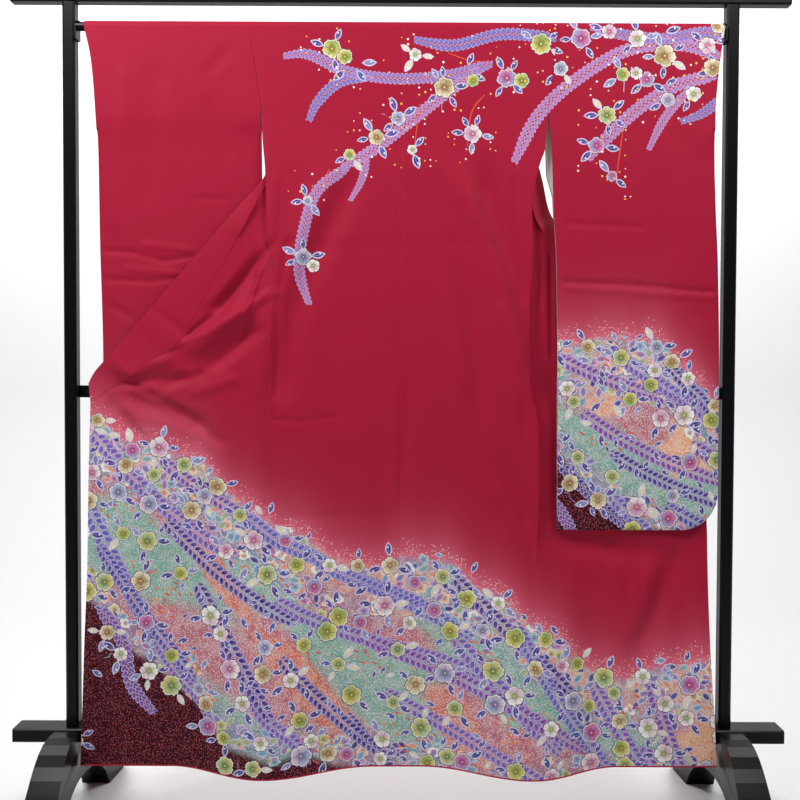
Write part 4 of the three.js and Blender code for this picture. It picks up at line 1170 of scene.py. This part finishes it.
def draw_garland(graph, colour, number, deep):
    """A strand of rounded leaflets in two rows, or a thin red stem. deep darkens its blues."""
    along, across, tone, whole = graph.shape(f"garland_{number}")
    reach = abs(across)
    place = along - reach * 0.6 + (across > 0.0) * 0.5 + 100.0
    offset = graph.math("FRACT", place) - 0.5
    count = graph.math("FLOOR", place)
    middle = reach - 0.53
    body = middle * middle * 4.4 + offset * offset * 4.3
    is_stem = tone > 1.2
    strand = whole * (1.0 - is_stem)
    flicker = graph.math("FRACT", count * 0.618 + tone * 7.0)
    blueness = graph.step(tone, 0.35, 0.75)
    light = graph.blend(blueness, linear(176, 122, 184), linear(112, 106, 188))
    dark = graph.ramp(
        graph.math("FRACT", tone * 3.7), (112, 84, 172), (52, 66, 150), (122, 62, 150),
        (40, 36, 116), (84, 96, 178),
    )
    tint = graph.blend(deep, light, dark)
    tint = graph.blend(flicker * 0.25, tint, linear(150, 122, 190))
    tint = graph.blend(graph.step(middle, -0.2, 0.45) * 0.35, tint, linear(176, 150, 204))
    pale = graph.blend(blueness, linear(232, 190, 216), linear(196, 190, 228))
    pale = graph.blend(deep * 0.8, pale, linear(200, 190, 230))
    rim = graph.step(body + deep * 0.18, 0.68, 0.84)
    tint = graph.blend(rim * 0.9, tint, pale)
    around = (body < 1.3) * (reach < 1.0) * strand
    outline = graph.blend(deep, linear(104, 26, 84), linear(52, 38, 96))
    colour = graph.blend(around * 0.6, colour, outline)
    colour = graph.blend((body < 1.0) * strand, colour, tint)
    colour = graph.blend((reach < 0.05) * strand * 0.6, colour, linear(206, 170, 206))
    return graph.blend((reach < 0.13) * whole * is_stem, colour, linear(226, 84, 56))


def draw_bloom(graph, colour, number, mottle):
    """A blossom of five or six petals, or a broad leaf."""
    u, v, tone, whole = graph.shape(f"bloom_{number}")
    radius = graph.math("SQRT", u * u + v * v)
    angle = graph.math("ARCTAN2", v, u)
    half_petals = (graph.math("FRACT", tone * 9.0) > 0.6) * 0.5 + 2.5
    lobe = abs(graph.math("COSINE", angle * half_petals))
    frill = graph.math("SINE", angle * 15.0 + tone * 40.0) * 0.035
    edge = graph.math("POWER", lobe, 0.4) * 0.25 + 0.73 + (mottle - 0.5) * 0.3 + frill
    is_leaf = tone > 1.0
    blossom = whole * (1.0 - is_leaf)
    petal = graph.ramp(
        tone, (208, 202, 118), (184, 196, 146), (240, 238, 232), (226, 212, 178), (196, 124, 172),
        (214, 168, 196), (168, 176, 204),
    )
    second = graph.ramp(
        tone, (150, 170, 96), (206, 196, 120), (222, 190, 206), (176, 158, 110), (160, 160, 200),
        (236, 226, 226), (214, 198, 214),
    )
    heart = graph.ramp(
        tone, (116, 116, 34), (84, 112, 60), (128, 142, 54), (140, 88, 44), (166, 34, 112),
        (166, 66, 120), (96, 92, 140),
    )
    petal = graph.blend(graph.step(u * 0.6 + (mottle - 0.5) * 2.4, -0.4, 0.6), petal, second)
    vein = abs(graph.math("SINE", angle * 17.5)) * graph.step(radius, 0.95, 0.3)
    tint = graph.blend(graph.step(radius, 0.6, 0.1) * 0.9, petal, heart)
    tint = graph.blend(vein * 0.3, tint, heart)
    between = graph.step(lobe, 0.26, 0.02) * graph.step(radius, 0.12, 0.3)
    tint = graph.blend(between * 0.8, tint, linear(84, 76, 92))
    tint = graph.blend((radius < 0.1) * 0.8, tint, linear(236, 220, 140))
    tint = graph.blend((radius + 0.12 > edge) * 0.55, tint, linear(248, 244, 234))
    colour = graph.blend((radius < edge + 0.1) * blossom * 0.7, colour, linear(70, 50, 84))
    colour = graph.blend((radius < edge) * blossom, colour, tint)

    width = abs(v) * 2.1
    body = width + u * u
    blade = graph.ramp(
        tone - 1.0, (50, 28, 112), (34, 36, 122), (74, 34, 132), (46, 66, 142), (52, 32, 118),
        (128, 132, 172), (228, 220, 172),
    )
    shade = graph.step(body, 0.05, 0.7)
    tint = graph.blend(shade * 0.2, blade, linear(140, 140, 200))
    tint = graph.blend(graph.step(width, 0.16, 0.06) * (u < 0.6) * 0.4, tint, linear(190, 190, 226))
    spot = (u - 0.25) * (u - 0.25) + (v - 0.14) * (v - 0.14)
    tint = graph.blend(spot < 0.012, tint, linear(250, 250, 250))
    tint = graph.blend(graph.step(body, 0.56, 0.74) * 0.92, tint, linear(214, 206, 234))
    return graph.blend((body < 1.0) * whole * is_leaf, colour, tint)


def silk_material():
    """Crepe silk with its dyed picture."""
    graph = Graph("silk")
    place = graph.plan()
    red, green, blue, speckles = graph.values("ground")
    joined = graph.node("ShaderNodeCombineColor", {0: red, 1: green, 2: blue})
    colour = Term(graph, joined.outputs[0])
    beads, leaves, strokes, dark = graph.values("cover")

    mottle = graph.noise(place, 45.0, 3.0)
    inside = graph.step(speckles, 0.5, 0.62)
    haze = graph.step(mottle, 0.4, 0.62) * inside * (1.0 - dark)
    colour = graph.blend(haze * 0.16, colour, linear(244, 236, 232))
    distance, random, _ = graph.cells(place, 0.004)
    r, g, b = graph.parts(random)
    dot = (distance < b * 0.12 + 0.2) * (r < speckles * (mottle * 1.3 + 0.3 - dark * 0.1))
    pale = graph.blend(0.74, colour, linear(252, 238, 230))
    rosy = graph.blend(g * 0.8, linear(116, 38, 56), linear(220, 130, 136))
    pale = graph.blend(dark, pale, rosy)
    pale = graph.blend((g > 0.9) * (1.0 - leaves), pale, linear(206, 60, 60))
    colour = graph.blend(dot * 0.85, colour, pale)

    colour = draw_small_blooms(graph, colour, place, 0.03, leaves * 0.95)
    colour = draw_small_leaf(graph, colour, place, 0.021, leaves * 0.9, [
        (128, 116, 172), (104, 158, 186), (158, 112, 160), (160, 176, 116), (76, 66, 146),
        (226, 150, 116), (120, 168, 160), (58, 42, 122),
    ], (0.7, linear(206, 200, 222)), (0.6, 0.36))
    colour = draw_small_leaf(graph, colour, place, 0.012, strokes * 0.3, [
        (214, 84, 60), (226, 130, 84), (206, 70, 80), (232, 156, 96),
    ], (0.9, linear(232, 150, 110)), (0.75, 0.16), slant=-0.95)
    for number in range(CHANNELS):
        colour = draw_garland(graph, colour, number, inside)
    for number in range(CHANNELS):
        colour = draw_bloom(graph, colour, number, mottle)
    distance, random, _ = graph.cells(place, 0.0125)
    r, g, b = graph.parts(random)
    bead = (distance < g * 0.1 + 0.10) * (r < beads * 0.2)
    bead_colour = graph.blend(b > 0.5, linear(244, 232, 220), linear(236, 190, 84))
    colour = graph.blend(bead, colour, bead_colour)

    graph.surface(colour, graph.noise(place, 900.0, 1.0), 0.12, 0.0004, 0.62, 0.12)
    graph.shader.inputs["Sheen Weight"].default_value = 0.02
    graph.shader.inputs["Sheen Roughness"].default_value = 0.4
    graph.shader.inputs["Sheen Tint"].default_value = (1.0, 0.75, 0.78, 1)
    return graph.material


def plain(name, colour, roughness, specular=0.5):
    """A material of one colour."""
    material = bpy.data.materials.new(name)
    material.use_nodes = True
    shader = material.node_tree.nodes["Principled BSDF"]
    shader.inputs["Base Color"].default_value = (*colour, 1)
    shader.inputs["Roughness"].default_value = roughness
    shader.inputs["Specular IOR Level"].default_value = specular
    return material


def lining_material():
    """White silk lining whose lowest part is faced with crimson."""
    graph = Graph("lining")
    place = graph.plan()
    faced = graph.offsets(place, (0, 0, 0))[1] < FACING_TOP * MM
    colour = graph.blend(faced, linear(228, 222, 214), CRIMSON)
    graph.surface(colour, graph.noise(place, 700.0), 0.1, 0.0003, 0.7, 0.15)
    return graph.material


# ---- assembly ----------------------------------------------------------------------------------
silk = silk_material()
lining = lining_material()
facing = plain("facing", CRIMSON, 0.6, 0.2)
lacquer = plain("lacquer", (0.004, 0.004, 0.005), 0.3, 0.12)
for name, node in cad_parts.items():
    node.data.materials.clear()
    node.data.materials.append(lacquer)

# Each piece's cut as far as it shows: greatest width and length in metres, and its area.
CUTS = {
    "back_left": (0.328, 1.63, 0.468), "back_right": (0.331, 1.63, 0.475),
    "front_left": (0.253, 1.72, 0.311), "front_right": (0.246, 1.70, 0.305),
    "overlap_left": (0.241, 0.937, 0.118), "overlap_right": (0.233, 0.923, 0.125),
    "sleeve_left": (0.388, 2.18, 0.749), "sleeve_right": (0.387, 2.18, 0.755),
    "collar": (0.118, 2.21, 0.119),
}
garment = {}
sleeve_x = {}
for side in ("left", "right"):
    garment[f"back_{side}"] = back_grid(side)
    garment[f"front_{side}"] = front_grid(side)
    garment[f"overlap_{side}"] = overlap_grid(side)
    garment[f"sleeve_{side}"], sleeve_x[side] = sleeve_grid(side)
garment["collar"] = collar_grid()
for name, grid in garment.items():
    is_collar = name == "collar"
    sides = [silk, silk if is_collar else lining]
    piece = cloth(f"{name}_cloth", grid, sides, COLLAR_THICKNESS if is_collar else THICKNESS)
    kind, _, side = name.partition("_")
    sheet, x = ("sleeve", sleeve_x[side]) if kind == "sleeve" else ("body", grid[..., 0])
    paint(piece, sheet, x.ravel(), grid[..., 2].ravel())
    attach(piece, "root")
    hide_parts(name)
    if kind in ("back", "front", "overlap"):
        hem_roll(f"{name}_hem", grid[-1] - [0, 0, 0.6])
    *flat, area = CUTS[name]

# ---- stage, light and camera -------------------------------------------------------------------
CAMERA_PLACE = Vector((-0.006, -2.180, 0.9703))
CAMERA_YAW, CAMERA_PITCH, CAMERA_ROLL = (math.radians(a) for a in (0.166, -1.614, 0.205))
LENS = 1012 / 800 * 36


def add_camera():
    """The camera that took the photograph, as far as its picture tells."""
    forward = Vector((
        math.sin(CAMERA_YAW) * math.cos(CAMERA_PITCH),
        math.cos(CAMERA_YAW) * math.cos(CAMERA_PITCH),
        math.sin(CAMERA_PITCH),
    ))
    level = forward.cross(Vector((0, 0, 1))).normalized()
    above = level.cross(forward)
    right = level * math.cos(CAMERA_ROLL) + above * math.sin(CAMERA_ROLL)
    up = above * math.cos(CAMERA_ROLL) - level * math.sin(CAMERA_ROLL)
    data = bpy.data.cameras.new("camera")
    data.lens = LENS
    data.sensor_width = 36
    camera = bpy.data.objects.new("camera", data)
    turn = Matrix((right, up, -forward)).transposed()
    camera.matrix_world = Matrix.Translation(CAMERA_PLACE) @ turn.to_4x4()
    bpy.context.scene.collection.objects.link(camera)
    bpy.context.scene.camera = camera


def add_area(name, place, target, size, power):
    """A rectangular lamp that shines on a target."""
    data = bpy.data.lights.new(name, "AREA")
    data.shape = "RECTANGLE"
    data.size, data.size_y = size
    data.energy = power
    lamp = bpy.data.objects.new(name, data)
    lamp.location = place
    lamp.rotation_euler = (Vector(target) - Vector(place)).to_track_quat("-Z", "Y").to_euler()
    bpy.context.scene.collection.objects.link(lamp)


def paper_material():
    """Matt white paper that is seen from its front only, so that it hides nothing from behind."""
    material = plain("paper", (0.86, 0.86, 0.87), 0.9)
    tree = material.node_tree
    side = tree.nodes.new("ShaderNodeNewGeometry")
    clear = tree.nodes.new("ShaderNodeBsdfTransparent")
    both = tree.nodes.new("ShaderNodeMixShader")
    tree.links.new(side.outputs["Backfacing"], both.inputs[0])
    tree.links.new(tree.nodes["Principled BSDF"].outputs[0], both.inputs[1])
    tree.links.new(clear.outputs[0], both.inputs[2])
    tree.links.new(both.outputs[0], tree.nodes["Material Output"].inputs["Surface"])
    return material


def add_stage():
    """A pale floor that curves up into a backdrop."""
    radius, wall_y, wall_top, half_floor = 0.9, 2.4, 5.0, 6.0
    turn = [
        (wall_y - radius + radius * math.sin(a), radius - radius * math.cos(a))
        for a in np.linspace(0, math.pi / 2, 16)
    ]
    profile = [(-half_floor, 0.0), (0.0, 0.0), *turn, (wall_y, wall_top)]
    points = [(x / MM, y / MM, z / MM) for y, z in profile for x in (-half_floor, half_floor)]
    faces = [(2 * i, 2 * i + 1, 2 * i + 3, 2 * i + 2) for i in range(len(profile) - 1)]
    floor = make_object("backdrop", points, faces, [paper_material()])


add_camera()
add_stage()
add_area("key_left", (-1.35, -1.2, 2.7), (-0.1, 0, 1.35), (0.7, 0.6), 46)
add_area("key_right", (1.3, -1.2, 2.7), (0.55, 0, 1.5), (0.7, 0.6), 29)
add_area("wall_left", (-1.8, 0.9, 3.4), (-0.7, 2.4, 1.1), (1.6, 0.8), 54)
add_area("wall_right", (1.8, 0.9, 3.4), (0.7, 2.4, 1.1), (1.6, 0.8), 46)
world = bpy.data.worlds.new("studio")
bpy.context.scene.world = world
world.use_nodes = True
world.node_tree.nodes["Background"].inputs[0].default_value = (1, 1, 1, 1)
world.node_tree.nodes["Background"].inputs[1].default_value = 0.12
bpy.context.scene.view_settings.view_transform = "Standard"
